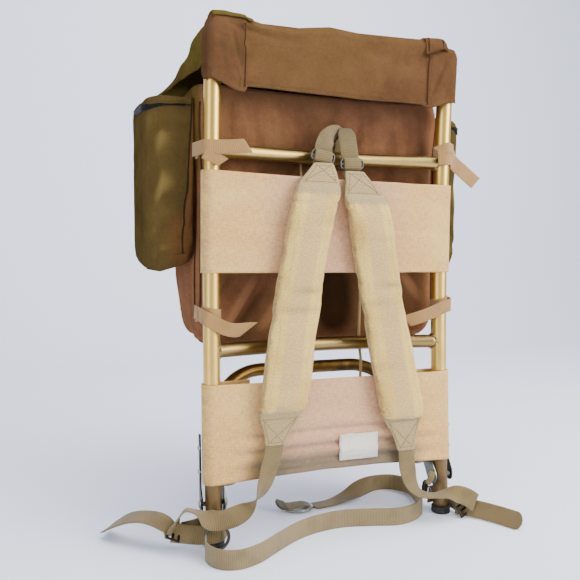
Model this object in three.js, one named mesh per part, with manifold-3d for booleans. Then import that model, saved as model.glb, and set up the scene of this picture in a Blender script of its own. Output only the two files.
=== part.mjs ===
// A rucksack on an external frame: two bowed uprights of aluminium tube with two crossbars, a hinged
// load shelf, canvas back bands, padded shoulder straps, a waist belt and a hooded nylon bag.
// Millimetres, +Z up. The wearer's back meets the bands on the -Y side and the bag hangs on the +Y side.
// Left and right are as seen from the wearer's side, with left at -X.

import * as THREE from 'three';
import { mergeVertices } from 'three/addons/utils/BufferGeometryUtils.js';
import Module from 'manifold-3d';

const wasm = await Module();
wasm.setup();

// Driving dimensions
const GAP = 0.3;
const HALF_SPACING = 170;
const UPRIGHT = { radius: 11, wall: 1.6, top: 664, lift: 1.4, sides: 14, steps: 6 };
const BOW = { depth: 18.4, apex: 400, radius: 4348 };
const CROSSBAR = { radius: 9.5, wall: 1.5, bow: 22, upper: 507, lower: 249, sides: 12, steps: 7 };
const SHELF = { radius: 9.5, wall: 1.5, sides: 10, steps: 18 };
const SHELF_SHAPE = { legX: 145.7, length: 185, bend: 75, legFoot: 22, lean: 36 };
const PIVOT = { z: 54, pin: 3, head: 5.5 };
const TONGUE = { inner: 155.5, thickness: 2.5, endRadius: 12, length: 78, tipHalf: 8 };
const STRIP = { inner: 185, thickness: 2, half: 7, below: 9, above: 97, rivets: [46, 80] };
const FOOT = { radius: 13.5, height: 10, floor: 4, bore: 11.8, sides: 16 };
const BAND = { wall: 2, offset: 13, flap: 55, upper: [350, 481], lower: [77, 207] };
const FLAP_LIFT = { upper: 0, lower: 35 };
const CORD = { radius: 2, sides: 6 };
const WEB = { width: 25, thickness: 1.6 };
const TAPE = { width: 18, thickness: 1.2 };
const CLOTH = 2;
const BAG = { frontRadius: 34, backRadius: 66, hollow: 17, sideSteps: 6, endSteps: 3, arcSteps: 3 };
const POCKET = { middleY: 118, middleZ: 469, corner: 34, sideSteps: 2, endSteps: 4, arcSteps: 3 };
const HOOD = { cornerX: 130, sideSteps: 10, endSteps: 1, arcSteps: 2, endRadius: 9 };

const point = (x, y, z) => new THREE.Vector3(x, y, z);
const bow = (z) => BOW.depth - (z - BOW.apex) ** 2 / (2 * BOW.radius);
const bowSlope = (z) => (BOW.apex - z) / BOW.radius;
const crossbarY = (x, z) => bow(z) + CROSSBAR.bow * (1 - (x / HALF_SPACING) ** 2);
const range = (count) => Array.from({ length: count }, (_, i) => i);

// Finishes
function finish(color, roughness, metalness) {
  return new THREE.MeshStandardMaterial({ color, roughness, metalness });
}

const FINISH = {
  tube: finish('#b4955c', 0.35, 0.9),
  steel: finish('#8d8f86', 0.4, 0.9),
  darkSteel: finish('#3b3a36', 0.5, 0.8),
  rubber: finish('#1d1c1b', 0.85, 0),
  canvas: finish('#d3bd98', 0.95, 0),
  pad: finish('#cdbb8e', 0.95, 0),
  web: finish('#9c8660', 0.9, 0),
  tape: finish('#bf9f76', 0.9, 0),
  cord: finish('#a5824c', 0.85, 0),
  label: finish('#e9e4da', 0.9, 0),
  brown: finish('#7b4f33', 0.6, 0),
  olive: finish('#6b5530', 0.6, 0),
};

// Mesh helpers

// A closed body from points and triangles, turned so that its faces point out.
function closedBody(points, faces) {
  const volume = faces.reduce((sum, [a, b, c]) => {
    return sum + points[a].dot(point(0, 0, 0).crossVectors(points[b], points[c]));
  }, 0);
  const outward = volume > 0 ? faces : faces.map(([a, b, c]) => [a, c, b]);
  const geometry = new THREE.BufferGeometry();
  const corners = outward.flat().flatMap((i) => points[i].toArray());
  geometry.setAttribute('position', new THREE.Float32BufferAttribute(corners, 3));
  geometry.computeVertexNormals();
  return geometry;
}

function gridFaces(rowCount, columnCount, loop) {
  const faces = [];
  const spans = loop ? columnCount : columnCount - 1;
  for (let r = 0; r + 1 < rowCount; r++) {
    for (let c = 0; c < spans; c++) {
      const a = r * columnCount + c;
      const b = r * columnCount + ((c + 1) % columnCount);
      faces.push([a, b, b + columnCount], [a, b + columnCount, a + columnCount]);
    }
  }
  return faces;
}

function meanOf(points) {
  return points.reduce((sum, p) => sum.add(p), point(0, 0, 0)).divideScalar(points.length);
}

function pointNormals(points, faces) {
  const normals = points.map(() => point(0, 0, 0));
  for (const [a, b, c] of faces) {
    const across = points[b].clone().sub(points[a]);
    const normal = across.cross(points[c].clone().sub(points[a]));
    for (const i of [a, b, c]) normals[i].add(normal);
  }
  return normals.map((n) => n.normalize());
}

function rimEdges(faces) {
  const directed = new Set(faces.flatMap(([a, b, c]) => [`${a}>${b}`, `${b}>${c}`, `${c}>${a}`]));
  const edges = [...directed].map((key) => key.split('>').map(Number));
  return edges.filter(([a, b]) => !directed.has(`${b}>${a}`));
}

// Cloth of the given wall through rows of points: an open sheet, or a looped pouch with a closed end.
function cloth(rows, wall, { loop = false, capped = false } = {}) {
  const columns = rows[0].length;
  const sheet = rows.flat();
  const faces = gridFaces(rows.length, columns, loop);
  if (capped) {
    const last = (rows.length - 1) * columns;
    const tip = sheet.push(meanOf(rows.at(-1))) - 1;
    for (const c of range(columns)) faces.push([last + c, last + ((c + 1) % columns), tip]);
  }
  const normals = pointNormals(sheet, faces);
  const side = (sign) => sheet.map((p, i) => p.clone().addScaledVector(normals[i], (sign * wall) / 2));
  const shift = sheet.length;
  const closed = [...faces, ...faces.map(([a, b, c]) => [a + shift, c + shift, b + shift])];
  for (const [a, b] of rimEdges(faces)) closed.push([b, a, a + shift], [b, a + shift, b + shift]);
  return closedBody([...side(1), ...side(-1)], closed);
}

// A solid through rings of points, closed at both ends.
function loft(rings) {
  const count = rings[0].length;
  const points = rings.flat();
  const faces = gridFaces(rings.length, count, true);
  const last = (rings.length - 1) * count;
  const first = points.push(meanOf(rings[0])) - 1;
  const tip = points.push(meanOf(rings.at(-1))) - 1;
  for (const c of range(count)) {
    const next = (c + 1) % count;
    faces.push([next, c, first], [last + c, last + next, tip]);
  }
  return closedBody(points, faces);
}

// Webbing along a route. Each row is x, y, z and then the direction across the webbing.
function webbing(route, { width, thickness }, stepsPerRow = 2) {
  const path = new THREE.CatmullRomCurve3(route.map(([x, y, z]) => point(x, y, z)), false, 'centripetal');
  const lies = route.map((row) => point(...row.slice(3)));
  const lie = new THREE.CatmullRomCurve3(lies, false, 'catmullrom', 0.5);
  const steps = (route.length - 1) * stepsPerRow;
  const rows = range(steps + 1).map((i) => {
    const along = path.getTangent(i / steps);
    const across = lie.getPoint(i / steps);
    across.addScaledVector(along, -across.dot(along)).setLength(width / 2);
    const middle = path.getPoint(i / steps);
    return [middle.clone().sub(across), middle.clone().add(across)];
  });
  return cloth(rows, thickness);
}

function circle(radius, sides) {
  return range(sides).map((i) => {
    const turn = (2 * Math.PI * i) / sides;
    return new THREE.Vector2(radius * Math.cos(turn), radius * Math.sin(turn));
  });
}

function tube(path, { radius, wall, sides }, steps) {
  const section = new THREE.Shape(circle(radius, sides));
  if (wall) section.holes.push(new THREE.Path(circle(radius - wall, sides)));
  return new THREE.ExtrudeGeometry(section, { steps, extrudePath: path, bevelEnabled: false });
}

// A rounded box drawn anticlockwise from its right side, with one corner radius in front and one behind.
function roundedBox(halfWidth, halfDepth, [frontRadius, backRadius], { sideSteps, endSteps, arcSteps }) {
  const corners = [[1, 1], [-1, 1], [-1, -1], [1, -1]];
  const arcs = corners.map(([signX, signY], k) => {
    const radius = signY < 0 ? frontRadius : backRadius;
    const centre = new THREE.Vector2(signX * (halfWidth - radius), signY * (halfDepth - radius));
    return range(arcSteps + 1).map((i) => {
      const turn = ((k + i / arcSteps) * Math.PI) / 2;
      return new THREE.Vector2(Math.cos(turn), Math.sin(turn)).multiplyScalar(radius).add(centre);
    });
  });
  return arcs.flatMap((arc, k) => {
    const next = arcs[(k + 1) % arcs.length][0];
    const steps = k % 2 ? endSteps : sideSteps;
    return [...arc, ...range(steps - 1).map((i) => arc.at(-1).clone().lerp(next, (i + 1) / steps))];
  });
}

function solid(geometry) {
  const bare = geometry.clone();
  bare.deleteAttribute('normal');
  bare.deleteAttribute('uv');
  const merged = mergeVertices(bare, 1e-4);
  const vertProperties = new Float32Array(merged.attributes.position.array);
  const triVerts = new Uint32Array(merged.index.array);
  return new wasm.Manifold(new wasm.Mesh({ numProp: 3, vertProperties, triVerts }));
}

function shapeOf(manifold) {
  const { vertProperties, triVerts } = manifold.getMesh();
  const geometry = new THREE.BufferGeometry();
  geometry.setAttribute('position', new THREE.BufferAttribute(vertProperties, 3));
  geometry.setIndex(new THREE.BufferAttribute(triVerts, 1));
  geometry.computeVertexNormals();
  return geometry;
}

function cut(body, ...tools) {
  return shapeOf(tools.reduce((rest, tool) => rest.subtract(solid(tool)), solid(body)));
}

function join(first, ...others) {
  return shapeOf(others.reduce((sum, other) => sum.add(solid(other)), solid(first)));
}

// The assembly
const pack = new THREE.Group();

function add(name, geometry, material, parent = pack) {
  const mesh = new THREE.Mesh(geometry, material);
  mesh.name = name;
  parent.add(mesh);
  return mesh;
}

const SIDES = [['left', -1], ['right', 1]];

// Frame: uprights with a cross hole for the shelf pin, and crossbars coped to the uprights.
function uprightPath(x) {
  const low = FOOT.floor + UPRIGHT.lift;
  const rise = (UPRIGHT.top - low) / 2;
  const bend = point(x, bow(low) + bowSlope(low) * rise, low + rise);
  const upper = point(x, bow(UPRIGHT.top), UPRIGHT.top);
  return new THREE.QuadraticBezierCurve3(point(x, bow(low), low), bend, upper);
}

function rodAlongX(radius, length) {
  return new THREE.CylinderGeometry(radius, radius, length, 12).rotateZ(Math.PI / 2);
}

function uprightTube(x) {
  const pinHole = rodAlongX(PIVOT.pin + GAP, 4 * UPRIGHT.radius).translate(x, bow(PIVOT.z), PIVOT.z);
  return cut(tube(uprightPath(x), UPRIGHT, UPRIGHT.steps), pinHole);
}

function crossbar(z) {
  const end = bow(z);
  const [left, right] = SIDES.map(([, side]) => point(side * HALF_SPACING, end, z));
  const path = new THREE.QuadraticBezierCurve3(left, point(0, end + 2 * CROSSBAR.bow, z), right);
  const copes = SIDES.map(([, side]) => {
    const reach = (UPRIGHT.radius + 2 * GAP) / Math.cos(Math.PI / UPRIGHT.sides);
    const cope = new THREE.CylinderGeometry(reach, reach, 6 * CROSSBAR.radius, UPRIGHT.sides);
    return cope.rotateX(Math.PI / 2).translate(side * HALF_SPACING, end, z);
  });
  return cut(tube(path, CROSSBAR, CROSSBAR.steps), ...copes);
}

for (const [name, side] of SIDES) add(`upright_${name}`, uprightTube(side * HALF_SPACING), FINISH.tube);
add('crossbar_upper', crossbar(CROSSBAR.upper), FINISH.tube);
add('crossbar_lower', crossbar(CROSSBAR.lower), FINISH.tube);

// Foot caps: rubber cups on the lower ends of the uprights.
function footCap() {
  const profile = [[0, 0], [FOOT.radius, 0], [FOOT.radius, FOOT.height], [FOOT.bore, FOOT.height],
    [FOOT.bore, FOOT.floor], [0, FOOT.floor]];
  const lathe = new THREE.LatheGeometry(profile.map(([r, z]) => new THREE.Vector2(r, z)), FOOT.sides);
  return lathe.rotateX(Math.PI / 2);
}

for (const [name, side] of SIDES) {
  const cap = add(`foot_cap_${name}`, footCap(), FINISH.rubber);
  cap.position.set(side * HALF_SPACING, bow(FOOT.height / 2), 0);
}

// Shelf hinge: a strip outside each upright, a pin through it, and the shelf with its tongues.
// Plates are drawn in Y and Z about the pin and extruded along X.
const PLATE_TURN = new THREE.Matrix4().makeBasis(point(0, 1, 0), point(0, 0, 1), point(1, 0, 0));

function plate(outline, thickness, x) {
  outline.holes.push(new THREE.Path(circle(PIVOT.pin + GAP, 12)));
  const flat = { depth: thickness, bevelEnabled: false, curveSegments: 8 };
  const geometry = new THREE.ExtrudeGeometry(outline, flat);
  return geometry.applyMatrix4(PLATE_TURN).translate(x, 0, 0);
}

function stripOutline() {
  const outline = new THREE.Shape();
  outline.moveTo(STRIP.half, STRIP.above);
  outline.lineTo(-STRIP.half, STRIP.above);
  outline.lineTo(-STRIP.half, STRIP.half - STRIP.below);
  outline.absarc(0, STRIP.half - STRIP.below, STRIP.half, Math.PI, 2 * Math.PI);
  return outline;
}

function tongueOutline() {
  const outline = new THREE.Shape();
  outline.moveTo(TONGUE.tipHalf, TONGUE.length);
  outline.lineTo(-TONGUE.tipHalf, TONGUE.length);
  outline.lineTo(-TONGUE.endRadius, 0);
  outline.absarc(0, 0, TONGUE.endRadius, Math.PI, 2 * Math.PI);
  return outline;
}

function rivetDome(x, side, z) {
  const profile = [[0, -0.5], [4.5, -0.5], [4.5, 0.4], [3, 1.9], [0, 2.6]];
  const dome = new THREE.LatheGeometry(profile.map(([r, h]) => new THREE.Vector2(r, h)), 8);
  return dome.rotateZ((-side * Math.PI) / 2).translate(x, 0, z);
}

function hingeStrip(side) {
  const outer = side * (STRIP.inner + STRIP.thickness);
  const flat = plate(stripOutline(), STRIP.thickness, side > 0 ? STRIP.inner : outer);
  return join(flat, ...STRIP.rivets.map((z) => rivetDome(outer, side, z)));
}

function hingePin(side) {
  const inner = TONGUE.inner - GAP;
  const outer = STRIP.inner + STRIP.thickness + GAP;
  const profile = [[0, inner - 3], [PIVOT.head, inner - 3], [PIVOT.head, inner], [PIVOT.pin, inner],
    [PIVOT.pin, outer], [PIVOT.head, outer], [PIVOT.head - 1.2, outer + 2], [0, outer + 2.8]];
  const lathe = new THREE.LatheGeometry(profile.map(([r, x]) => new THREE.Vector2(r, x)), 10);
  return lathe.rotateZ((-side * Math.PI) / 2);
}

for (const [name, side] of SIDES) {
  const hinge = new THREE.Group();
  hinge.position.set(0, bow(PIVOT.z), PIVOT.z);
  add(`hinge_pin_${name}`, hingePin(side), FINISH.steel, hinge);
  const leaning = new THREE.Group();
  leaning.rotation.x = -Math.atan(bowSlope(PIVOT.z + STRIP.above / 2));
  add(`hinge_strip_${name}`, hingeStrip(side), FINISH.steel, leaning);
  hinge.add(leaning);
  pack.add(hinge);
}

function shelfPath() {
  const { legX, length, bend, legFoot } = SHELF_SHAPE;
  const ease = bend * 0.5523;
  const path = new THREE.CurvePath();
  const low = length - bend;
  path.add(new THREE.LineCurve3(point(-legX, 0, legFoot), point(-legX, 0, low)));
  path.add(new THREE.CubicBezierCurve3(point(-legX, 0, low), point(-legX, 0, low + ease),
    point(bend - legX - ease, 0, length), point(bend - legX, 0, length)));
  path.add(new THREE.LineCurve3(point(bend - legX, 0, length), point(legX - bend, 0, length)));
  path.add(new THREE.CubicBezierCurve3(point(legX - bend, 0, length), point(legX - bend + ease, 0, length),
    point(legX, 0, low + ease), point(legX, 0, low)));
  path.add(new THREE.LineCurve3(point(legX, 0, low), point(legX, 0, legFoot)));
  return path;
}

const shelf = new THREE.Group();
shelf.position.set(0, bow(PIVOT.z), PIVOT.z);
shelf.rotation.x = -THREE.MathUtils.degToRad(SHELF_SHAPE.lean);
pack.add(shelf);
add('load_shelf', tube(shelfPath(), SHELF, SHELF.steps), FINISH.tube, shelf);
for (const [name, side] of SIDES) {
  const x = side > 0 ? TONGUE.inner : -TONGUE.inner - TONGUE.thickness;
  add(`shelf_tongue_${name}`, plate(tongueOutline(), TONGUE.thickness, x), FINISH.steel, shelf);
}

// Back bands: canvas wrapped round both uprights, with flaps behind that are laced together.
// The plan runs from one rear flap, round the uprights and across the front, to the other flap.
function bandPlan() {
  const { offset, flap } = BAND;
  const plan = [[-HALF_SPACING + flap, offset], [-HALF_SPACING + flap / 2, offset]];
  for (const i of range(8)) {
    const turn = Math.PI / 2 + (Math.PI * i) / 7;
    plan.push([-HALF_SPACING + offset * Math.cos(turn), offset * Math.sin(turn)]);
  }
  const mirrored = plan.toReversed().map(([x, y]) => [-x, y]);
  const front = range(5).map((i) => [(i - 2) * HALF_SPACING * 0.33, -offset]);
  return [...plan, ...front, ...mirrored];
}

// The lower band's flaps end higher than its front, clear of the shelf's legs.
// Each row is a height as a share of the band and how far its front bags out there.
const BAND_FOLDS = {
  upper: [[0, 1], [0.1, 0], [0.5, 0.5], [0.9, 0], [1, 0.6]],
  lower: [[0, 3.5], [0.1, 0.5], [0.2, 2.5], [0.32, 0], [0.45, 2], [0.7, 0.5], [1, 0]],
};

function bandFront(name, share) {
  const folds = BAND_FOLDS[name];
  const i = Math.max(1, folds.findIndex(([at]) => at >= share));
  const [[low, from], [high, to]] = [folds[i - 1], folds[i]];
  const [bottom, top] = BAND[name];
  const z = bottom + share * (top - bottom);
  return bow(z) - BAND.offset - from - ((to - from) * (share - low)) / (high - low);
}

function backBand(name) {
  const [bottom, top] = BAND[name];
  const rows = BAND_FOLDS[name].map(([share, bag]) => {
    return bandPlan().map(([x, y]) => {
      const low = bottom + (FLAP_LIFT[name] * (1 + y / BAND.offset)) / 2;
      const z = low + share * (top - low);
      const free = y < 0 ? Math.max(0, 1 - (x / HALF_SPACING) ** 4) : 0;
      return point(x, bow(z) + y - bag * free, z);
    });
  });
  return cloth(rows, BAND.wall);
}

add('back_band_upper', backBand('upper'), FINISH.canvas);
add('back_band_lower', backBand('lower'), FINISH.canvas);

// Label: a small woven patch, bare, on the front of the lower band.
const LABEL = { x: [1.5, 59.5], shares: [0.17, 0.2, 0.32, 0.42], thickness: 0.8 };

function labelPatch() {
  const [bottom, top] = BAND.lower;
  const stand = (BAND.wall + LABEL.thickness) / 2 + GAP;
  const rows = LABEL.shares.map((share) => {
    return LABEL.x.map((x) => point(x, bandFront('lower', share) - stand, bottom + share * (top - bottom)));
  });
  return cloth(rows, LABEL.thickness);
}

add('label_patch', labelPatch(), FINISH.label);

// Lacing: a cord zigzags between the flaps of each band, and one run joins the two.
function lacePoints([bottom, top], crossings) {
  const reach = HALF_SPACING - BAND.flap + 8;
  const behind = BAND.offset + BAND.wall / 2 + CORD.radius + GAP;
  return range(crossings).flatMap((i) => {
    const middle = top - 12 - ((top - bottom - 24) * i) / (crossings - 1);
    return [3.5, -3.5].map((rise) => {
      const z = middle + rise;
      return point(i % 2 ? reach : -reach, bow(z) + behind, z);
    });
  });
}

const LINK_X = 58;
const upperLace = lacePoints(BAND.upper, 6);
const lowerLace = lacePoints([BAND.lower[0] + FLAP_LIFT.lower, BAND.lower[1]], 6);
const linkY = crossbarY(LINK_X, CROSSBAR.lower) + CROSSBAR.radius + CORD.radius + 1.5;
const laceLink = [
  point(LINK_X + 8, bow(340) + 17, 346),
  point(LINK_X, linkY - 4, 310),
  point(LINK_X, linkY, CROSSBAR.lower),
  point(LINK_X, linkY - 8, 222),
];

function cordAlong(points, stepsPerSpan = 2) {
  const path = new THREE.CatmullRomCurve3(points, false, 'centripetal');
  const steps = (points.length - 1) * stepsPerSpan;
  const rings = range(steps + 1).map((i) => {
    const along = path.getTangent(i / steps);
    const back = point(0, 1, 0).addScaledVector(along, -along.y).normalize();
    const side = along.clone().cross(back);
    const middle = path.getPoint(i / steps);
    return circle(CORD.radius, CORD.sides).map((c) => {
      return middle.clone().addScaledVector(back, c.x).addScaledVector(side, c.y);
    });
  });
  return loft(rings);
}

add('lacing_upper', cordAlong(upperLace), FINISH.cord);
add('lacing_lower', cordAlong(lowerLace), FINISH.cord);
add('lacing_link', cordAlong(laceLink), FINISH.cord);

// Shoulder straps: a loop over the upper crossbar, a slide buckle, a pad and a lower strap.
// Pad rows: x, y and z of the middle, half width, half thickness.
const PAD_ROWS = {
  left: [
    [-22, 1, 494, 13.5, 3], [-26, -4, 480, 21, 5], [-32, -7, 464, 29, 7.5], [-38, -8, 440, 31, 8.5],
    [-52, -9, 360, 31.5, 9], [-68, -12, 270, 31.5, 9], [-82, -15, 186, 31.5, 8.5], [-86, -15, 168, 30, 7],
    [-91, -16, 147, 19, 4], [-95, -18, 128, 13, 2.5],
  ],
  right: [
    [23, -1, 486, 13.5, 3], [27, -5, 470, 20, 5], [34, -7, 450, 29, 7.5], [40, -8, 428, 31, 8.5],
    [54, -9, 350, 31.5, 9], [72, -12, 260, 32, 9], [90, -15, 170, 33, 8.5], [94, -15, 150, 31, 7],
    [97, -16, 128, 19, 4], [99, -18, 107, 13, 2.5],
  ],
};

function shoulderPad(rows) {
  const rings = rows.map(([x, y, z, half, deep]) => range(12).map((i) => {
    const turn = (2 * Math.PI * i) / 12;
    const flat = (s) => Math.sign(s) * Math.abs(s) ** 0.6;
    return point(x + half * flat(Math.cos(turn)), y + deep * flat(Math.sin(turn)), z);
  }));
  return loft(rings);
}

// Route rows: x, y, z, then the direction across the webbing.
const LOOP_ROUTES = {
  left: [
    [-20, 3, 501, 1, 0, 0.1], [-17, 6, 517, 1, 0, 0.1], [-11, 14, 534, 1, 0.2, -0.2],
    [-5, 28, 545, 1, 0.3, -0.3], [-2, 44, 540, 1, 0.2, 0], [-1, 51.5, 522, 1, 0, 0],
    [-1, 51.5, 504, 1, 0, 0], [-1, 46, 494.5, 1, 0, 0],
  ],
  right: [
    [23, 3, 493, 1, 0, 0.05], [23, 6, 509, 1, 0, 0], [25, 14, 530, 1, 0, 0],
    [27, 28, 545, 1, 0, 0], [28, 44, 540, 1, 0, 0], [28, 51, 522, 1, 0, 0],
    [28, 51, 504, 1, 0, 0], [28, 45.5, 494.5, 1, 0, 0],
  ],
};
const SLIDE_BUCKLES = { left: [-20, 9.5, 503, 0.06], right: [23, 9.5, 495, -0.03] };
const LOWER_ROUTES = {
  left: [
    [-96, -19, 124, 1, 0, -0.2], [-104, -21, 98, 1, 0, -0.3], [-116, -24, 72, 0.9, 0.3, -0.4],
    [-140, -28, 51, 0.4, 0.3, 0.9], [-170, -27, 44, 0, 0, 1], [-192, -24, 51, -0.1, 0.5, 0.9],
    [-209, -16, 57, -0.1, 0.9, 0.4], [-221, -9, 47, 0, 1, 0.1], [-224, -8, 30, 0.2, 1, 0],
  ],
  right: [
    [99, -19, 103, 1, 0, -0.1], [100, -22, 78, 1, 0, 0.1], [106, -25, 56, 0.9, 0, 0.4],
    [124, -28, 40, 0.4, 0, 0.9], [148, -28, 35, 0, 0, 1], [172, -27, 37, 0, 0, 1],
    [193, -32, 32, 0.1, 0.2, 1], [204, -38, 25, 0.4, 0.4, 0.8], [206, -43, 15, 0.7, 0.6, 0.3],
  ],
};
const TAIL_ROUTES = {
  left: [
    [-231, -1, 33, 0.1, 0.8, 0.5], [-238, 6, 43, 0, 0.7, 0.6], [-253, 20, 48, 0, 0.6, 0.8],
    [-272, 38, 41, 0, 0.5, 0.9], [-290, 60, 25, 0, 0.4, 0.9], [-300, 80, 12.6, 0, 0.2, 1],
  ],
  right: [
    [217, -42, 12.6, 0.2, 0.5, 0.86], [227, -57, 12.5, 0.2, 0.5, 0.86],
    [239, -71, 12, 0.2, 0.5, 0.86], [250, -83, 12, 0.2, 0.5, 0.86],
  ],
};
const ANCHOR_ROUTES = {
  left: [
    [-211, -9, 22.5, 0, 0.1, 1], [-196, -12, 21, 0, 0, 1], [-180, -14.5, 22, 0, 0, 1],
    [-164, -13, 23, 0, 0, 1], [-154, 0, 24, 0, 0, 1], [-161, 15, 24, 0, 0, 1],
    [-178, 17, 23, 0, 0, 1], [-194, 8, 22, 0, 0, 1], [-210, -4, 22.5, 0, 0.1, 1],
  ],
  right: [
    [190, -22, 13.2, 0, 0.1, 1], [180, -16.5, 15, 0, 0, 1], [164, -13.5, 22, 0, 0, 1], [154, 0, 24, 0, 0, 1],
    [161, 15, 24, 0, 0, 1], [177, 16, 22, 0, 0, 1], [187, 4, 18, 0, 0, 1], [191.5, -17, 13.4, 0, 0.1, 1],
  ],
};
const LADDER_LOCKS = {
  left: { at: [-224, -6, 21], turn: [0.15, 0.35, 1.3] },
  right: { at: [195, -27, 14], turn: [1.2, 0.1, 0.4] },
};

function wireRing(halfWidth, halfHeight, wire, sides) {
  const ring = new THREE.TorusGeometry(halfHeight, wire, 6, sides);
  return ring.scale(halfWidth / halfHeight, 1, 1);
}

function slideBuckle() {
  const bar = rodAlongX(1.2, 34);
  return join(wireRing(18, 9, 1.6, 12), bar);
}

function ladderLock() {
  const frame = new THREE.Shape([[-17, -9], [17, -9], [17, 9], [-17, 9]].map((c) => new THREE.Vector2(...c)));
  for (const [low, high] of [[-6, -1.5], [1.5, 6]]) {
    const slot = [[-14, low], [14, low], [14, high], [-14, high]];
    frame.holes.push(new THREE.Path(slot.map((c) => new THREE.Vector2(...c))));
  }
  return new THREE.ExtrudeGeometry(frame, { depth: 2.2, bevelEnabled: false }).translate(0, 0, -1.1);
}

for (const [name] of SIDES) {
  add(`strap_loop_${name}`, webbing(LOOP_ROUTES[name], WEB), FINISH.web);
  add(`shoulder_pad_${name}`, shoulderPad(PAD_ROWS[name]), FINISH.pad);
  const [x, y, z, roll] = SLIDE_BUCKLES[name];
  const buckle = add(`slide_buckle_${name}`, slideBuckle(), FINISH.steel);
  buckle.position.set(x, y, z);
  buckle.rotation.set(Math.PI / 2, roll, 0, 'YXZ');
  add(`strap_web_${name}`, webbing(LOWER_ROUTES[name], WEB), FINISH.web);
  add(`strap_tail_${name}`, webbing(TAIL_ROUTES[name], WEB), FINISH.web);
  add(`anchor_web_${name}`, webbing(ANCHOR_ROUTES[name], WEB), FINISH.web);
  const lock = add(`ladder_lock_${name}`, ladderLock(), FINISH.darkSteel);
  lock.position.set(...LADDER_LOCKS[name].at);
  lock.rotation.set(...LADDER_LOCKS[name].turn);
}

// Waist belt: one half from a ring at the left foot, the other from a clip at the right foot.
const EDGE = WEB.width / 2 + GAP;
const BELT_FRONT = [
  [-187, -25, 15], [-191, -40, EDGE], [-188, -58, EDGE], [-178, -71, EDGE], [-158, -77, EDGE],
  [-132, -69, EDGE], [-96, -44, EDGE], [-60, -21, EDGE], [-26, -9, EDGE], [12, -6, EDGE],
  [48, -14, EDGE], [88, -24, EDGE], [118, -16, EDGE], [138, 0, EDGE],
].map((row) => [...row, 0, 0, 1]);
const BELT_REAR = [
  [141, 6, EDGE, 0, 0, 1], [153, 40, EDGE, 0, 0, 1], [160, 78, EDGE, 0, 0, 1],
  [146, 102, EDGE, 0, 0, 1], [120, 108, EDGE, 0, 0, 1], [92, 100, 11.8, 0, 0.5, 0.8],
  [62, 89, 6.4, 0.2, 1, 0.25], [30, 81, 1.8, 0.1, 1, 0], [-2, 77, 1.5, 0, 1, 0],
];
const RING = { at: [-172, -21, 17.8], radius: 15.5, wire: 2.1 };
const BUCKLE = { at: [-24, 77, 3.2], halfWidth: 17, halfLength: 20, wire: 2.2 };
const CLIP = { at: [145, -2, 32], halfWidth: 5, halfLength: 11, wire: 1.8 };
const TAB_ROUTE = [[162, -9, 46, 0, 0, 1], [153, -11.5, 44, 0.2, 0, 1], [146, -9, 40, 0.5, 0.1, 0.9]];

add('waist_belt_front', webbing(BELT_FRONT, WEB), FINISH.web);
add('waist_belt_rear', webbing(BELT_REAR, WEB), FINISH.web);
const beltRing = add('belt_ring', new THREE.TorusGeometry(RING.radius, RING.wire, 6, 16), FINISH.steel);
beltRing.position.set(...RING.at);
beltRing.rotation.x = Math.PI / 2;

function beltBuckle() {
  const prong = rodAlongX(1.4, 2 * BUCKLE.halfLength).translate(0, 0, 1.2);
  const frame = wireRing(BUCKLE.halfLength, BUCKLE.halfWidth, BUCKLE.wire, 12);
  return join(frame, prong);
}

add('belt_buckle', beltBuckle(), FINISH.steel).position.set(...BUCKLE.at);
const clip = add('belt_clip', wireRing(CLIP.halfWidth, CLIP.halfLength, CLIP.wire, 12), FINISH.darkSteel);
clip.position.set(...CLIP.at);
clip.rotation.set(Math.PI / 2, 0.5, 0);
add('belt_tab', webbing(TAB_ROUTE, { width: 14, thickness: 1.6 }), FINISH.web);

// Tie tapes: they hold the bag's sides to the uprights, and their ends hang free.
const TIE_ROUTES = {
  upper_left: [
    [-191, 34, 507, 0, 0.1, 1], [-188, 20, 507, 0, 0, 1], [-182, 6, 508, 0, 0, 1], [-170, 2, 508, 0, 0, 1],
    [-152, -1, 508.5, 0, 0, 1], [-128, -4, 511, 0.3, 0, 1],
  ],
  upper_right: [
    [156, 5, 509, 0, 0, 1], [170, 2, 506, 0, 0, 1], [183, 8, 502, 0.2, 0, 1], [198, 18, 496, 0.5, 0, 0.9],
    [216, 26, 484, 0.6, 0, 0.8], [226, 30, 477, 0.6, 0, 0.8],
  ],
  lower_left: [
    [-188, 36, 303, 0, 0.1, 1], [-186, 20, 301, 0, 0, 1], [-181, 5, 299, 0.1, 0, 1],
    [-169, 2, 294, 0.2, 0, 1], [-150, -1, 284, 0.2, 0, 1], [-126, -5, 279, 0, 0, 1],
  ],
  lower_right: [
    [188, 36, 306, 0, 0.1, 1], [187, 20, 305, 0, 0, 1], [182, 5, 303, 0, 0, 1], [169, 2, 300, -0.2, 0, 1],
    [142, 2, 290, -0.3, 0, 1], [108, 6, 280, -0.2, 0, 1],
  ],
};
for (const [name, route] of Object.entries(TIE_ROUTES)) add(`tie_${name}`, webbing(route, TAPE), FINISH.tape);

// Bag: an open-topped nylon sack whose floor hangs lower behind.
// Rows: z, half width, front edge, back, sag of the back.
const BAG_ROWS = [
  [600, 176, 40, 214, 0], [574, 181, 38, 228, 0], [500, 183, 38, 236, 0], [410, 183, 37, 240, 0],
  [320, 182, 37, 236, 4], [286, 181, 39, 230, 10], [273, 176, 46, 222, 13], [268, 158, 62, 200, 13],
];

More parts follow.
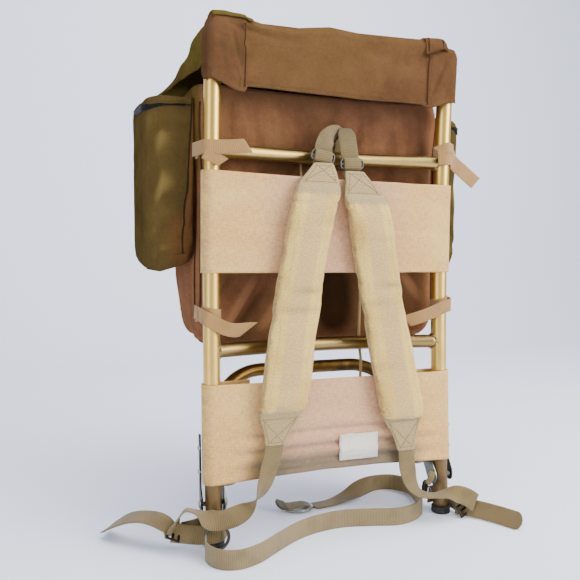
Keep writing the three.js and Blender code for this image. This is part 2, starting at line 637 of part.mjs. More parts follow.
function bagBody() {
  const rings = BAG_ROWS.map(([z, half, front, back, sag]) => {
    const radii = [BAG.frontRadius, BAG.backRadius].map((r) => Math.min(r, 0.45 * (back - front)));
    const outline = roundedBox(half, (back - front) / 2, radii, BAG);
    return outline.map(({ x, y }) => {
      const facing = Math.max(0, -y) / ((back - front) / 2);
      const hollow = BAG.hollow * facing * (1 - (x / half) ** 2);
      const behind = (y / (back - front)) + 0.5;
      return point(x, (front + back) / 2 + y + hollow, z - sag * behind);
    });
  });
  return cloth(rings, CLOTH, { loop: true, capped: true });
}

add('bag_body', bagBody(), FINISH.brown);

// Side pockets: bowls on the bag's sides, open towards it, the left one the fuller.
// Rows: share of the pocket's depth, half depth, half height, drop.
const POCKET_RIM = 186;
const POCKET_FULL = { left: 60, right: 38 };
const POCKET_ROWS = [
  [0, 66, 112, 0], [0.4, 69, 115, 0], [0.78, 66, 114, -1], [0.95, 59, 106, -2], [1, 42, 86, -3],
];

function sidePocket(name, side) {
  const rings = POCKET_ROWS.map(([share, deep, high, drop]) => {
    const radius = Math.min(POCKET.corner, 0.8 * deep);
    const x = side * (POCKET_RIM + share * POCKET_FULL[name]);
    return roundedBox(deep, high, [radius, radius], POCKET).map((o) => {
      return point(x, POCKET.middleY + o.x, POCKET.middleZ + drop + o.y);
    });
  });
  return cloth(rings, CLOTH, { loop: true, capped: true });
}

for (const [name, side] of SIDES) add(`side_pocket_${name}`, sidePocket(name, side), FINISH.olive);

// Hood: a sleeve closed at the top that drops over the upper ends of the uprights.
// Rows: z at the corners, z in the middle, half length, set-back of the middle, inset of front and back.
const HOOD_ROWS = [
  [587, 595, 185, 0, 0], [625, 626, 185, 3, 0], [662, 656, 184, 3, 0.5], [669, 662, 181, 3, 5],
];

function hoodSleeve() {
  const reach = UPRIGHT.radius + 3.5;
  const rings = HOOD_ROWS.map(([corner, middle, half, setBack, inset]) => {
    const radius = Math.min(HOOD.endRadius, reach - inset - 1);
    return roundedBox(half, reach - inset, [radius, radius], HOOD).map(({ x, y }) => {
      const mid = THREE.MathUtils.smoothstep(HOOD.cornerX - Math.abs(x), -8, 12);
      const z = THREE.MathUtils.lerp(corner, middle, mid);
      return point(x, bow(z) + y + (y < 0 ? setBack * mid : 0), z);
    });
  });
  return cloth(rings, CLOTH, { loop: true, capped: true });
}

add('hood_sleeve', hoodSleeve(), FINISH.brown);

// Lid: a sheet from the back of the hood down over the bag, with skirts at the sides and back.
// Rows: y, half width, crown z, shoulder z, hem z. The last rows hang down the back as one flap.
const LID_ROWS = [
  [31, 178, 666, 662, 606], [66, 188, 662, 650, 604], [110, 201, 652, 631, 602], [160, 212, 641, 617, 600],
  [210, 217, 628, 609, 597], [244, 211, 614, 603, 592],
];
const LID_FLAP = [[256, 205, 597], [261, 202, 566], [261, 200, 540]];
const LID_COLUMNS = 11;

function lid() {
  const share = (c) => (2 * c) / (LID_COLUMNS - 1) - 1;
  const rows = LID_ROWS.map(([y, half, crown, shoulder, hem]) => {
    const top = range(LID_COLUMNS).map((c) => {
      const x = share(c) * half;
      return point(x, y, shoulder + (crown - shoulder) * (1 - share(c) ** 2));
    });
    const skirt = (sign) => point(sign * (half + 1), y, hem);
    return [skirt(-1), ...top, skirt(1)];
  });
  const flap = LID_FLAP.map(([y, half, z]) => {
    const edge = range(LID_COLUMNS).map((c) => point(share(c) * half, y + 5 * (1 - share(c) ** 2), z));
    return [point(-half - 2, y - 4, z - 7), ...edge, point(half + 2, y - 4, z - 7)];
  });
  return cloth([...rows, ...flap], CLOTH);
}

add('lid', lid(), FINISH.olive);

// The origin is on the floor, under the middle of the whole object.
const extent = new THREE.Box3().setFromObject(pack);
const middle = extent.getCenter(point(0, 0, 0));
pack.position.set(-middle.x, -middle.y, -extent.min.z);

export default pack;
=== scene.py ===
# A rucksack on a bowed tube frame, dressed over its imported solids.
# Metres, +Z up. The wearer's back meets the bands on the -Y side and the bag hangs on the +Y side.
import math
import bmesh
import bpy
import numpy as np
from mathutils import Matrix, Vector, noise


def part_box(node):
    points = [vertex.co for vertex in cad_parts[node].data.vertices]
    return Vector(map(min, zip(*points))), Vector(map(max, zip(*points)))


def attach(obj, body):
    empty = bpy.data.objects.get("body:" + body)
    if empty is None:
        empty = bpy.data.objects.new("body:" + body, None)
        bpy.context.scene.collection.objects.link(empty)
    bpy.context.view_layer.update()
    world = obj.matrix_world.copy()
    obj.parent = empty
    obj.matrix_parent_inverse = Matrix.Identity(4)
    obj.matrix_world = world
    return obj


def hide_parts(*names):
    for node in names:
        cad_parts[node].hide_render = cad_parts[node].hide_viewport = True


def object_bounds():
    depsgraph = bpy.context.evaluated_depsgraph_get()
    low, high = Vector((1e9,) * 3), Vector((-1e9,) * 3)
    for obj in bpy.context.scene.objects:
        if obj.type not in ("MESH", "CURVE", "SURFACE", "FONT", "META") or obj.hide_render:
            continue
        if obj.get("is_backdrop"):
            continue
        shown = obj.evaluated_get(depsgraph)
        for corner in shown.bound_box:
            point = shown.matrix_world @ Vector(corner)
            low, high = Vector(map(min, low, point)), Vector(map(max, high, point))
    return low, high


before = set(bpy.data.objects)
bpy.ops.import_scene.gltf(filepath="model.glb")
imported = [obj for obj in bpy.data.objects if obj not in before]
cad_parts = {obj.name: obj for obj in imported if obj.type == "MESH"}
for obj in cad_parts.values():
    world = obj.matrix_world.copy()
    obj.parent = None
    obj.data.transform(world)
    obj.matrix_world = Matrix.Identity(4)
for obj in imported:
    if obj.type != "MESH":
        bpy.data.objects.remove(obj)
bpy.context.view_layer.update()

# Camera and studio: the pack stands on a plain pale floor, seen from its left at chest height.
# Shapes are drawn in millimetres from the floor point midway between the feet, as the frame was.
MM = 0.001
BOW = {"depth": 18.4, "apex": 400.0, "radius": 4348.0}
FOOT_HEIGHT = 10.0


def bow(z):
    return BOW["depth"] - (np.asarray(z, float) - BOW["apex"]) ** 2 / (2 * BOW["radius"])


foot_boxes = [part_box("foot_cap_left"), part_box("foot_cap_right")]
feet_middle = sum((low + high for low, high in foot_boxes), Vector()) / 4
PACK_ORIGIN = np.array([feet_middle.x, feet_middle.y - bow(FOOT_HEIGHT / 2) * MM, 0.0])

CAMERA = {"at": (-382.0, -831.5, 380.0), "yaw": 20.64, "pitch": 3.37, "roll": 0.48, "lens": 42.1}
yaw, pitch, roll = (math.radians(CAMERA[k]) for k in ("yaw", "pitch", "roll"))
camera = bpy.data.objects.new("camera", bpy.data.cameras.new("camera"))
camera.data.lens = CAMERA["lens"]
camera.location = Vector(CAMERA["at"]) * MM + Vector(PACK_ORIGIN)
camera.rotation_euler = (Matrix.Rotation(-yaw, 3, "Z") @ Matrix.Rotation(math.pi / 2 - pitch, 3, "X")
                         @ Matrix.Rotation(roll, 3, "Z")).to_euler()
bpy.context.scene.collection.objects.link(camera)
bpy.context.scene.camera = camera


def softbox(name, at, aim, size, watts, colour):
    light = bpy.data.objects.new(name, bpy.data.lights.new(name, "AREA"))
    light.data.shape = "RECTANGLE"
    light.data.size, light.data.size_y = size
    light.data.energy = watts
    light.data.color = colour
    light.location = at
    light.rotation_euler = (Vector(aim) - Vector(at)).to_track_quat("-Z", "Y").to_euler()
    bpy.context.scene.collection.objects.link(light)


softbox("key", (1.5, -1.7, 1.3), (0, 0, 0.35), (1.5, 2.0), 92, (1.0, 0.97, 0.93))
softbox("fill", (-1.7, -1.2, 0.9), (0, 0, 0.35), (0.9, 1.8), 16, (0.95, 0.97, 1.0))
softbox("overhead", (0.3, -0.3, 2.4), (0, 0.3, 0.2), (2.4, 1.8), 70, (1.0, 1.0, 1.0))
world = bpy.data.worlds.new("studio")
world.use_nodes = True
world.node_tree.nodes["Background"].inputs["Color"].default_value = (0.9, 0.94, 1.0, 1)
world.node_tree.nodes["Background"].inputs["Strength"].default_value = 0.68
bpy.context.scene.world = world


class Wire:
    """A shader socket that takes part in arithmetic. Each operator adds a Math node."""

    def __init__(self, finish, socket):
        self.finish = finish
        self.socket = socket

    def maths(self, operation, *values):
        return self.finish.node("ShaderNodeMath", {"operation": operation}, dict(enumerate(values)))

    def __add__(self, other):
        return self.maths("ADD", self, other)

    def __sub__(self, other):
        return self.maths("SUBTRACT", self, other)

    def __rsub__(self, other):
        return self.maths("SUBTRACT", other, self)

    def __mul__(self, other):
        return self.maths("MULTIPLY", self, other)

    __radd__ = __add__
    __rmul__ = __mul__

    def sine(self):
        return self.maths("SINE", self)

    def size(self):
        return self.maths("ABSOLUTE", self)

    def between(self, low, high):
        """A smooth step: 0 below low and 1 above high."""
        sockets = {"Value": self, "From Min": low, "From Max": high}
        return self.finish.node("ShaderNodeMapRange", {"interpolation_type": "SMOOTHSTEP"}, sockets)


def linear(hex_colour):
    channels = [int(hex_colour[i:i + 2], 16) / 255 for i in (1, 3, 5)]
    return tuple(c / 12.92 if c <= 0.04045 else ((c + 0.055) / 1.055) ** 2.4 for c in channels) + (1.0,)


class Finish:
    """A material on the Principled shader, with one method that adds any node."""

    def __init__(self, name, **constants):
        self.material = bpy.data.materials.new(name)
        self.material.use_nodes = True
        self.tree = self.material.node_tree
        self.shader = self.tree.nodes["Principled BSDF"]
        for socket, value in constants.items():
            self.shader.inputs[socket.replace("_", " ").title().replace("Ior", "IOR")].default_value = value

    def node(self, kind, settings=None, sockets=None, output=0):
        node = self.tree.nodes.new(kind)
        for key, value in (settings or {}).items():
            setattr(node, key, value)
        for key, value in (sockets or {}).items():
            self.feed(node.inputs[key], value)
        return Wire(self, node.outputs[output])

    def feed(self, socket, value):
        if isinstance(value, Wire):
            self.tree.links.new(value.socket, socket)
        else:
            socket.default_value = value

    def place(self, scale=(1, 1, 1), uv=None):
        """Object coordinates in millimetres, or the piece's own map, stretched by scale."""
        if uv:
            spot = self.node("ShaderNodeUVMap", {"uv_map": uv})
        else:
            spot = self.node("ShaderNodeTexCoord", output="Object")
        return self.node("ShaderNodeMapping", {}, {"Vector": spot, "Scale": tuple(1000 * s for s in scale)})

    def axis(self, spot, name):
        return self.node("ShaderNodeSeparateXYZ", {}, {"Vector": spot}, output=name)

    def mottle(self, spot, size, detail=3.0, roughness=0.55):
        """Soft random blotches, size millimetres across, from 0 to 1."""
        sockets = {"Vector": spot, "Scale": 1 / size, "Detail": detail, "Roughness": roughness}
        return self.node("ShaderNodeTexNoise", {}, sockets)

    def blend(self, share, first, second):
        first, second = (linear(c) if isinstance(c, str) else c for c in (first, second))
        sockets = {"Factor": share, 6: first, 7: second}
        return self.node("ShaderNodeMix", {"data_type": "RGBA"}, sockets, output=2)

    def finish(self, colour, roughness=None, height=None, relief=0.2, metallic=None):
        """Feed the shader. Relief is the bump's depth in millimetres."""
        self.feed(self.shader.inputs["Base Color"], linear(colour) if isinstance(colour, str) else colour)
        if roughness is not None:
            self.feed(self.shader.inputs["Roughness"], roughness)
        if metallic is not None:
            self.feed(self.shader.inputs["Metallic"], metallic)
        if height is not None:
            sockets = {"Height": height, "Distance": relief * MM, "Strength": 1.0}
            self.feed(self.shader.inputs["Normal"], self.node("ShaderNodeBump", {}, sockets))
        return self


floor_finish = Finish("studio_paper", roughness=0.7)
floor_finish.finish("#ebf0ff")
turn = np.linspace(0, np.pi / 2, 24)
profile = [(-7.0, 0.0)] + [(1.3 + 0.6 * math.sin(t), 0.6 - 0.6 * math.cos(t)) for t in turn] + [(1.9, 5.0)]
corners = [(x, y, z) for y, z in profile for x in (-7.0, 7.0)]
paper = bpy.data.meshes.new("studio_paper")
paper.from_pydata(corners, [], [[i, i + 1, i + 3, i + 2] for i in range(0, len(corners) - 2, 2)])
paper.shade_smooth()
paper.materials.append(floor_finish.material)
floor = bpy.data.objects.new("studio_paper", paper)
bpy.context.scene.collection.objects.link(floor)
floor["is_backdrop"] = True

# Frame: two uprights of gold anodised aluminium tube, bowed like a back, and two crossbars of thinner tube
# bowed towards the bag. The crossbars are coped to the uprights and welded, which leaves a dull grey bead.
HALF_SPACING = 170.0
UPRIGHT = {"radius": 11.0, "top": 640.0, "foot": 5.4}
CROSSBAR = {"radius": 9.5, "bow": 22.0, "upper": 507.0, "lower": 249.0}
SIDES = (("left", -1), ("right", 1))


def grid(rows, closed=False, looped=False, capped=False):
    """Faces through rows of points and, for each face corner, its place on the cloth in metres."""
    rows = np.asarray(rows, float)
    count, columns = rows.shape[:2]
    ring = np.concatenate([rows, rows[:, :1]], 1) if closed else rows
    ladder = np.concatenate([rows, rows[:1]], 0) if looped else rows
    u = np.concatenate([[0], np.cumsum(np.linalg.norm(np.diff(ring, axis=1), axis=2).mean(0))]) * MM
    v = np.concatenate([[0], np.cumsum(np.linalg.norm(np.diff(ladder, axis=0), axis=2).mean(1))]) * MM
    r, c = np.meshgrid(np.arange(len(v) - 1), np.arange(len(u) - 1), indexing="ij")
    r, c = r.ravel(), c.ravel()
    right, up = (c + 1) % columns, (r + 1) % count
    faces = np.stack([r * columns + c, r * columns + right, up * columns + right, up * columns + c], 1)
    corners = np.stack([u[c], v[r], u[c + 1], v[r], u[c + 1], v[r + 1], u[c], v[r + 1]], 1).reshape(-1, 2)
    faces = faces.tolist()
    if capped:
        last = (count - 1) * columns
        faces += [list(range(columns))[::-1], list(range(last, last + columns))]
        corners = np.concatenate([corners, np.zeros((2 * columns, 2))])
    return rows.reshape(-1, 3), faces, corners


def make_piece(name, shape, finish, body="pack", nodes=()):
    """A mesh object from points in millimetres, riding on its body in place of the nodes it stands for."""
    points, faces, corners = shape
    mesh = bpy.data.meshes.new(name)
    mesh.from_pydata((np.asarray(points) * MM + PACK_ORIGIN).tolist(), [], faces)
    if corners is not None:
        layer = mesh.uv_layers.new(name="cloth")
        layer.data.foreach_set("uv", np.asarray(corners, np.float32).ravel())
    edit = bmesh.new()
    edit.from_mesh(mesh)
    bmesh.ops.recalc_face_normals(edit, faces=edit.faces)
    edit.to_mesh(mesh)
    edit.free()
    mesh.shade_smooth()
    mesh.materials.append(finish.material)
    piece = bpy.data.objects.new(name, mesh)
    bpy.context.scene.collection.objects.link(piece)
    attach(piece, body)
    if nodes:
        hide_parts(*nodes)
    return piece


def unit(vectors):
    return vectors / np.maximum(np.linalg.norm(vectors, axis=-1, keepdims=True), 1e-9)


def sweep(path, section, across=None, looped=False):
    """Rows of a section carried along a path. Its first axis lies across, its second square to that."""
    path = np.asarray(path, float)
    if looped:
        along = unit(np.roll(path, -1, 0) - np.roll(path, 1, 0))
    else:
        along = unit(np.gradient(path, axis=0))
    if across is None:
        start = np.array([1.0, 0, 0]) if abs(along[0][0]) < 0.9 else np.array([0, 1.0, 0])
        across = [start]
        for direction in along[1:]:
            across.append(across[-1] - direction * (across[-1] @ direction))
        across = np.array(across)
    side = unit(across - along * np.sum(across * along, axis=1, keepdims=True))
    normal = np.cross(side, along)
    section = np.asarray(section, float)
    if section.ndim == 2:
        section = np.broadcast_to(section, (len(path),) + section.shape)
    return path[:, None] + section[..., :1] * side[:, None] + section[..., 1:] * normal[:, None]


def circle(radius, sides):
    turn = np.linspace(0, 2 * np.pi, sides, endpoint=False)
    return np.stack([radius * np.cos(turn), radius * np.sin(turn)], 1)


def gold_tube_finish(name, dark, light):
    """Gold anodising, drawn along the tube, browned and scuffed towards the floor. The browning is tarnish,
    deepened near the feet with painted shade.
    """
    tube = Finish(name, specular_ior_level=0.5)
    drawn = tube.mottle(tube.place((1.6, 0.012, 1), uv="cloth"), 1.0, detail=4)
    cloudy = tube.mottle(tube.place(), 60)
    scuffs = tube.mottle(tube.place((1, 0.2, 1), uv="cloth"), 5, detail=6, roughness=0.7)
    scuffs = scuffs.between(0.62, 0.72)
    height = tube.axis(tube.place(), "Z") + 26 * cloudy
    # Painted shade: the tarnish browning near the feet is made darker to stand for the shade low down.
    browned = (1 - height.between(100, 230)) * 0.9 + cloudy.between(0.5, 0.75) * 0.2
    gold = tube.blend(drawn, dark, light)
    worn = tube.blend(browned, gold, "#4d3822")
    colour = tube.blend(scuffs * 0.5, worn, "#6e5738")
    roughness = 0.29 + 0.12 * drawn + 0.18 * scuffs + 0.1 * browned
    return tube.finish(colour, roughness, drawn, relief=0.03, metallic=1 - 0.6 * browned)


def weld_finish():
    weld = Finish("weld_bead", metallic=0.9)
    grain = weld.mottle(weld.place(), 1.5)
    return weld.finish(weld.blend(grain, "#857a5e", "#ab9d78"), 0.35 + 0.3 * grain, grain, relief=0.3)


GOLD = gold_tube_finish("gold_tube", "#d2a64a", "#eecb74")
# The crossbars are the same gold tube with painted shade: darker overall, and the lower one, under the bag,
# darkest.
SHADED_GOLD = {"upper": gold_tube_finish("shaded_upper_gold_tube", "#9d8349", "#bda165"),
             "lower": gold_tube_finish("shaded_gold_tube", "#80693c", "#9c8454")}
WELD = weld_finish()

for name, side in SIDES:
    z = np.linspace(UPRIGHT["foot"], UPRIGHT["top"], 60)
    path = np.stack([np.full_like(z, side * HALF_SPACING), bow(z), z], 1)
    shape = grid(sweep(path, circle(UPRIGHT["radius"], 40)), closed=True, capped=True)
    make_piece(f"upright_tube_{name}", shape, GOLD, nodes=[f"upright_{name}"])


def crossbar_y(x, z):
    return bow(z) + CROSSBAR["bow"] * (1 - (np.asarray(x) / HALF_SPACING) ** 2)


def weld_bead(side, z):
    """A lumpy bead round the joint between a crossbar and an upright."""
    turn = np.linspace(0, 2 * np.pi, 56, endpoint=False)
    reach = CROSSBAR["radius"] + 0.5
    y = reach * np.cos(turn)
    x = side * (HALF_SPACING - np.sqrt((UPRIGHT["radius"] + 0.4) ** 2 - y ** 2))
    path = np.stack([x, crossbar_y(x, z) + y, z + reach * np.sin(turn)], 1)
    lumps = 1.3 + 0.35 * np.sin(11 * turn + z) + 0.2 * np.sin(23 * turn)
    section = circle(1.0, 8)[None] * lumps[:, None, None]
    return grid(sweep(path, section, looped=True), closed=True, looped=True)


for level in ("upper", "lower"):
    z = CROSSBAR[level]
    x = np.linspace(-HALF_SPACING + 4, HALF_SPACING - 4, 48)
    path = np.stack([x, crossbar_y(x, z), np.full_like(x, z)], 1)
    across = np.broadcast_to([0, 0, 1.0], path.shape)
    shape = grid(sweep(path, circle(CROSSBAR["radius"], 36), across), closed=True, capped=True)
    make_piece(f"crossbar_tube_{level}", shape, SHADED_GOLD[level], nodes=[f"crossbar_{level}"])
    for name, side in SIDES:
        make_piece(f"weld_{level}_{name}", weld_bead(side, z), WELD)

# Foot caps: black rubber cups pushed on to the lower ends of the uprights.
# Each has a soft rounded edge and stands on the floor.
FOOT = {"radius": 13.5, "bore": 11.2, "floor": 4.0}


def lathe(profile, at, axis=(0, 0, 1), sides=40):
    """Rings of a profile of radius and height turned about an axis."""
    axis = np.array(axis, float)
    across = unit(np.cross(axis, [0.3, 0.8, 0.1]))
    other = np.cross(axis, across)
    ring = circle(1.0, sides)
    spokes = ring[:, :1] * across + ring[:, 1:] * other
    rows = [np.asarray(at) + h * axis + r * spokes for r, h in profile]
    return grid(rows, closed=True, capped=True)


rubber = Finish("black_rubber")
dust = rubber.mottle(rubber.place(), 9, detail=5)
dusty = rubber.blend(dust.between(0.45, 0.8), "#151413", "#4a463f")
rubber.finish(dusty, 0.6 + 0.3 * dust, dust, relief=0.25)
for name, side in SIDES:
    lip, tall = FOOT["radius"], FOOT_HEIGHT
    profile = [(lip - 1.4, 0), (lip - 0.4, 0.3), (lip, 1.3), (lip, tall - 1.2), (lip - 0.4, tall - 0.3),
               (lip - 1.2, tall), (FOOT["bore"], tall - 0.3), (FOOT["bore"], FOOT["floor"])]
    at = (side * HALF_SPACING, bow(FOOT_HEIGHT / 2), 0)
    make_piece(f"foot_cup_{name}", lathe(profile, at), rubber, nodes=[f"foot_cap_{name}"])

# Load shelf: a bent tube with a flat steel tongue on each leg, hung on a riveted pin through each upright.
# A long steel strip outside the upright spreads the load, held by two more rivets.
PIVOT_Z = 54.0
PIVOT = np.array([0, bow(PIVOT_Z), PIVOT_Z])
SHELF = {"radius": 9.5, "leg_x": 145.7, "length": 185.0, "bend": 75.0, "leg_foot": 22.0, "lean": 36.0}
TONGUE = {"inner": 155.5, "thickness": 2.5, "end_radius": 12.0, "length": 78.0, "tip_half": 8.0}
STRIP = {"inner": 185.0, "thickness": 2.0, "half": 7.0, "front": 0.4, "below": 9.0, "above": 89.0,
         "rivets": (41.0, 71.5)}
PIN = {"radius": 3.0, "head": 5.5}
RIVET_HEAD = {"Head radius": 3.4 * MM, "Head height": 2.4 * MM}


def leaning(points, degrees):
    """Points drawn about the pivot, tipped back and put in their place."""
    turn = math.radians(degrees)
    x, y, z = np.asarray(points, float).T
    tipped = [x, y * math.cos(turn) + z * math.sin(turn), z * math.cos(turn) - y * math.sin(turn)]
    return np.stack(tipped, 1) + PIVOT


def shelf_path():
    bend, low = SHELF["bend"], SHELF["length"] - SHELF["bend"]
    turn = np.linspace(0, np.pi / 2, 16)
    leg = [(-SHELF["leg_x"], 0, z) for z in np.linspace(SHELF["leg_foot"], low, 8)]
    corner = [(bend - SHELF["leg_x"] - bend * math.cos(t), 0, low + bend * math.sin(t)) for t in turn[1:]]
    half = np.array(leg + corner)
    return np.concatenate([half, half[::-1] * [-1, 1, 1]])


def steel_finish(name, dark, light, stain):
    """Dull plated steel with tarnish in patches."""
    steel = Finish(name, metallic=1.0)
    grain = steel.mottle(steel.place((1, 1, 0.3)), 1.2, detail=4)
    tarnish = steel.mottle(steel.place(), 11, detail=6, roughness=0.65).between(0.5, 0.7)
    colour = steel.blend(tarnish * 0.7, steel.blend(grain, dark, light), stain)
    return steel.finish(colour, 0.28 + 0.15 * grain + 0.3 * tarnish, grain, relief=0.05)


def shade_darkened_tube_finish():
    """The same tube, tarnished brown and darkened with painted shade for the bag above it, with darker
    patches at random.
    """
    tube = Finish("shade_darkened_bronze", metallic=1.0)
    drawn = tube.mottle(tube.place((1.6, 0.012, 1), uv="cloth"), 1.0, detail=4)
    rubbed = tube.mottle(tube.place(), 38, detail=5).between(0.4, 0.68)
    # Painted shade: both tube colours are darkened to stand for the shade under the bag.
    colour = tube.blend(rubbed, tube.blend(drawn, "#6f5528", "#8a6c36"), "#4c3a22")
    return tube.finish(colour, 0.3 + 0.14 * drawn + 0.2 * rubbed, drawn, relief=0.03)


STEEL = steel_finish("plated_steel", "#8b8d88", "#b9bab4", "#6d6656")
ZINC = steel_finish("zinc_plate", "#6b7166", "#8f958a", "#5a5648")
SHADED_BRONZE = shade_darkened_tube_finish()
DARK_STEEL = steel_finish("blackened_steel", "#1f1d1a", "#37342d", "#3c3226")
IRON = steel_finish("dull_iron", "#45443f", "#6f6d66", "#40392f")

path = leaning(shelf_path(), SHELF["lean"])
square = np.broadcast_to(leaning([[0, 1, 0]], SHELF["lean"])[0] - PIVOT, path.shape)
shape = grid(sweep(path, circle(SHELF["radius"], 36), square), closed=True, capped=True)
make_piece("shelf_tube", shape, SHADED_BRONZE, body="shelf", nodes=["load_shelf"])


def plate(outline, x_inner, thickness, degrees):
    """A flat plate from its outline in Y and Z about the pivot, extruded along X and tipped back."""
    count = len(outline)
    flat = [(x, y, z) for x in (x_inner, x_inner + thickness) for y, z in outline]
    sides = [[i, (i + 1) % count, count + (i + 1) % count, count + i] for i in range(count)]
    faces = [list(range(count))[::-1], list(range(count, 2 * count))] + sides
    return leaning(flat, degrees), faces, None


def arc(radius, start, end, steps, at=0.0):
    turn = np.linspace(math.radians(start), math.radians(end), steps)
    return [(radius * math.cos(t), at + radius * math.sin(t)) for t in turn]


def soften(piece, width, segments=2):
    bevel = piece.modifiers.new("soft_edges", "BEVEL")
    bevel.width = width * MM
    bevel.segments = segments
    bevel.limit_method = "ANGLE"
    bevel.harden_normals = False
    piece.data.set_sharp_from_angle(angle=math.radians(40))


def start_tree(name, source, sizes, result):
    """A Geometry Nodes tree with named inputs for its source, its sizes and its finish."""
    tree = bpy.data.node_groups.new(name, "GeometryNodeTree")
    tree.interface.new_socket(source, in_out="INPUT", socket_type="NodeSocketGeometry")
    for size in sizes:
        tree.interface.new_socket(size, in_out="INPUT", socket_type="NodeSocketFloat")
    tree.interface.new_socket("Finish", in_out="INPUT", socket_type="NodeSocketMaterial")
    tree.interface.new_socket(result, in_out="OUTPUT", socket_type="NodeSocketGeometry")
    return tree, tree.nodes.new("NodeGroupInput")


def end_tree(tree, given, spread):
    """Smooth what was spread over the points, make it real and give it its finish."""
    add, link = tree.nodes.new, tree.links.new
    smooth, real = add("GeometryNodeSetShadeSmooth"), add("GeometryNodeRealizeInstances")
    paint, made = add("GeometryNodeSetMaterial"), add("NodeGroupOutput")
    link(spread.outputs[0], smooth.inputs["Geometry"])
    link(smooth.outputs[0], real.inputs["Geometry"])
    link(real.outputs[0], paint.inputs["Geometry"])
    link(given.outputs["Finish"], paint.inputs["Material"])
    link(paint.outputs[0], made.inputs[0])
    return tree


def ball(tree, segments, rings):
    """A ball of radius 1 in a tree, to be scaled."""
    node = tree.nodes.new("GeometryNodeMeshUVSphere")
    for socket, value in (("Segments", segments), ("Rings", rings), ("Radius", 1.0)):
        node.inputs[socket].default_value = value
    return node


def rivet_tree():
    """Geometry Nodes: a domed head on each point, flattened along X."""
    tree, given = start_tree("rivet_heads", "Points", ("Head radius", "Head height"), "Rivets")
    add, link = tree.nodes.new, tree.links.new
    dome, scale = ball(tree, 16, 10), add("ShaderNodeCombineXYZ")
    spread = add("GeometryNodeInstanceOnPoints")
    link(given.outputs["Head height"], scale.inputs["X"])
    link(given.outputs["Head radius"], scale.inputs["Y"])
    link(given.outputs["Head radius"], scale.inputs["Z"])
    link(given.outputs["Points"], spread.inputs["Points"])
    link(dome.outputs["Mesh"], spread.inputs["Instance"])
    link(scale.outputs[0], spread.inputs["Scale"])
    return end_tree(tree, given, spread)


def grow(name, tree, points, edges, settings, finish, body="pack"):
    """Run a Geometry Nodes tree on points in millimetres and keep the result as a plain mesh."""
    seed = bpy.data.meshes.new(name)
    seed.from_pydata((np.asarray(points) * MM + PACK_ORIGIN).tolist(), edges, [])
    piece = bpy.data.objects.new(name, seed)
    bpy.context.scene.collection.objects.link(piece)
    modifier = piece.modifiers.new(tree.name, "NODES")
    modifier.node_group = tree
    for item in tree.interface.items_tree:
        if item.in_out == "INPUT" and item.name in settings:
            modifier[item.identifier] = settings[item.name]
        elif item.in_out == "INPUT" and item.name == "Finish":
            modifier[item.identifier] = finish.material
    evaluated = piece.evaluated_get(bpy.context.evaluated_depsgraph_get())
    grown = bpy.data.meshes.new_from_object(evaluated)
    piece.modifiers.clear()
    piece.data = grown
    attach(piece, body)
    return piece


RIVETS = rivet_tree()
strip_lean = math.degrees(math.atan((BOW["apex"] - PIVOT_Z - STRIP["above"] / 2) / BOW["radius"]))
round_end = STRIP["half"] - STRIP["below"]
strip_outline = [(STRIP["half"], STRIP["above"]), (STRIP["front"], STRIP["above"]),
                 (STRIP["front"], 3 * STRIP["half"]), (-STRIP["half"], STRIP["half"])]
strip_outline += arc(STRIP["half"], 180, 360, 16, at=round_end)
tongue_outline = [(TONGUE["tip_half"], TONGUE["length"]), (-TONGUE["tip_half"], TONGUE["length"])]
tongue_outline += arc(TONGUE["end_radius"], 180, 360, 20)
for name, side in SIDES:
    inner = STRIP["inner"] if side > 0 else -STRIP["inner"] - STRIP["thickness"]
    strip = plate(strip_outline, inner, STRIP["thickness"], strip_lean)
    strip = make_piece(f"strip_plate_{name}", strip, DARK_STEEL, nodes=[f"hinge_strip_{name}"])
    soften(strip, 0.5)
    inner = TONGUE["inner"] if side > 0 else -TONGUE["inner"] - TONGUE["thickness"]
    tongue = plate(tongue_outline, inner, TONGUE["thickness"], SHELF["lean"])
    tongue = make_piece(f"tongue_plate_{name}", tongue, ZINC, "shelf", [f"shelf_tongue_{name}"])
    soften(tongue, 0.6)
    near, far = TONGUE["inner"] - 0.3, STRIP["inner"] + STRIP["thickness"] + 0.3
    head, shank = PIN["head"], PIN["radius"]
    profile = [(1.5, near - 3), (head - 1, near - 2.8), (head, near - 2), (head, near), (shank, near),
               (shank, far), (head, far), (head, far + 0.8), (head - 1.2, far + 2), (2, far + 2.7)]
    pin = lathe(profile, PIVOT, axis=(side, 0, 0), sides=24)
    make_piece(f"pin_{name}", pin, STEEL, nodes=[f"hinge_pin_{name}"])
    outer = side * (STRIP["inner"] + STRIP["thickness"])
    heads = leaning([(outer, STRIP["half"] / 2, z) for z in STRIP["rivets"]], strip_lean)
    grow(f"strip_rivets_{name}", RIVETS, heads, [], RIVET_HEAD, STEEL)

# Back bands: two strips of faded beige canvas stretched round both uprights, with laced flaps behind.
# The lower one has slackened into soft level folds, and its lower edge is soiled grey.
BAND = {"wall": 1.7, "offset": 13.0, "flap": 55.0, "upper": (350.0, 481.0), "lower": (77.0, 207.0)}
FLAP_LIFT = {"upper": 0.0, "lower": 35.0}
BAND_EDGES = {
    "upper": {"drop": 3.7, "tilt": 2.8, "sag": 2.0, "lift": 0.0, "arch": 0.0},
    "lower": {"drop": 0.0, "tilt": 0.0, "sag": 0.0, "lift": 2.5, "arch": 6.5},
}
BAND_FOLDS = {
    "upper": [(0, 1), (0.1, 0), (0.42, 1), (0.47, -0.6), (0.55, 0.6), (0.9, 0), (1, 0.6)],
    "lower": [(0, 4.5), (0.06, 2), (0.12, -1), (0.2, 4), (0.28, -1.2), (0.37, 4), (0.45, -0.6), (0.55, 2.6),
              (0.68, 0.2), (0.8, 1.4), (1, 0)],
}


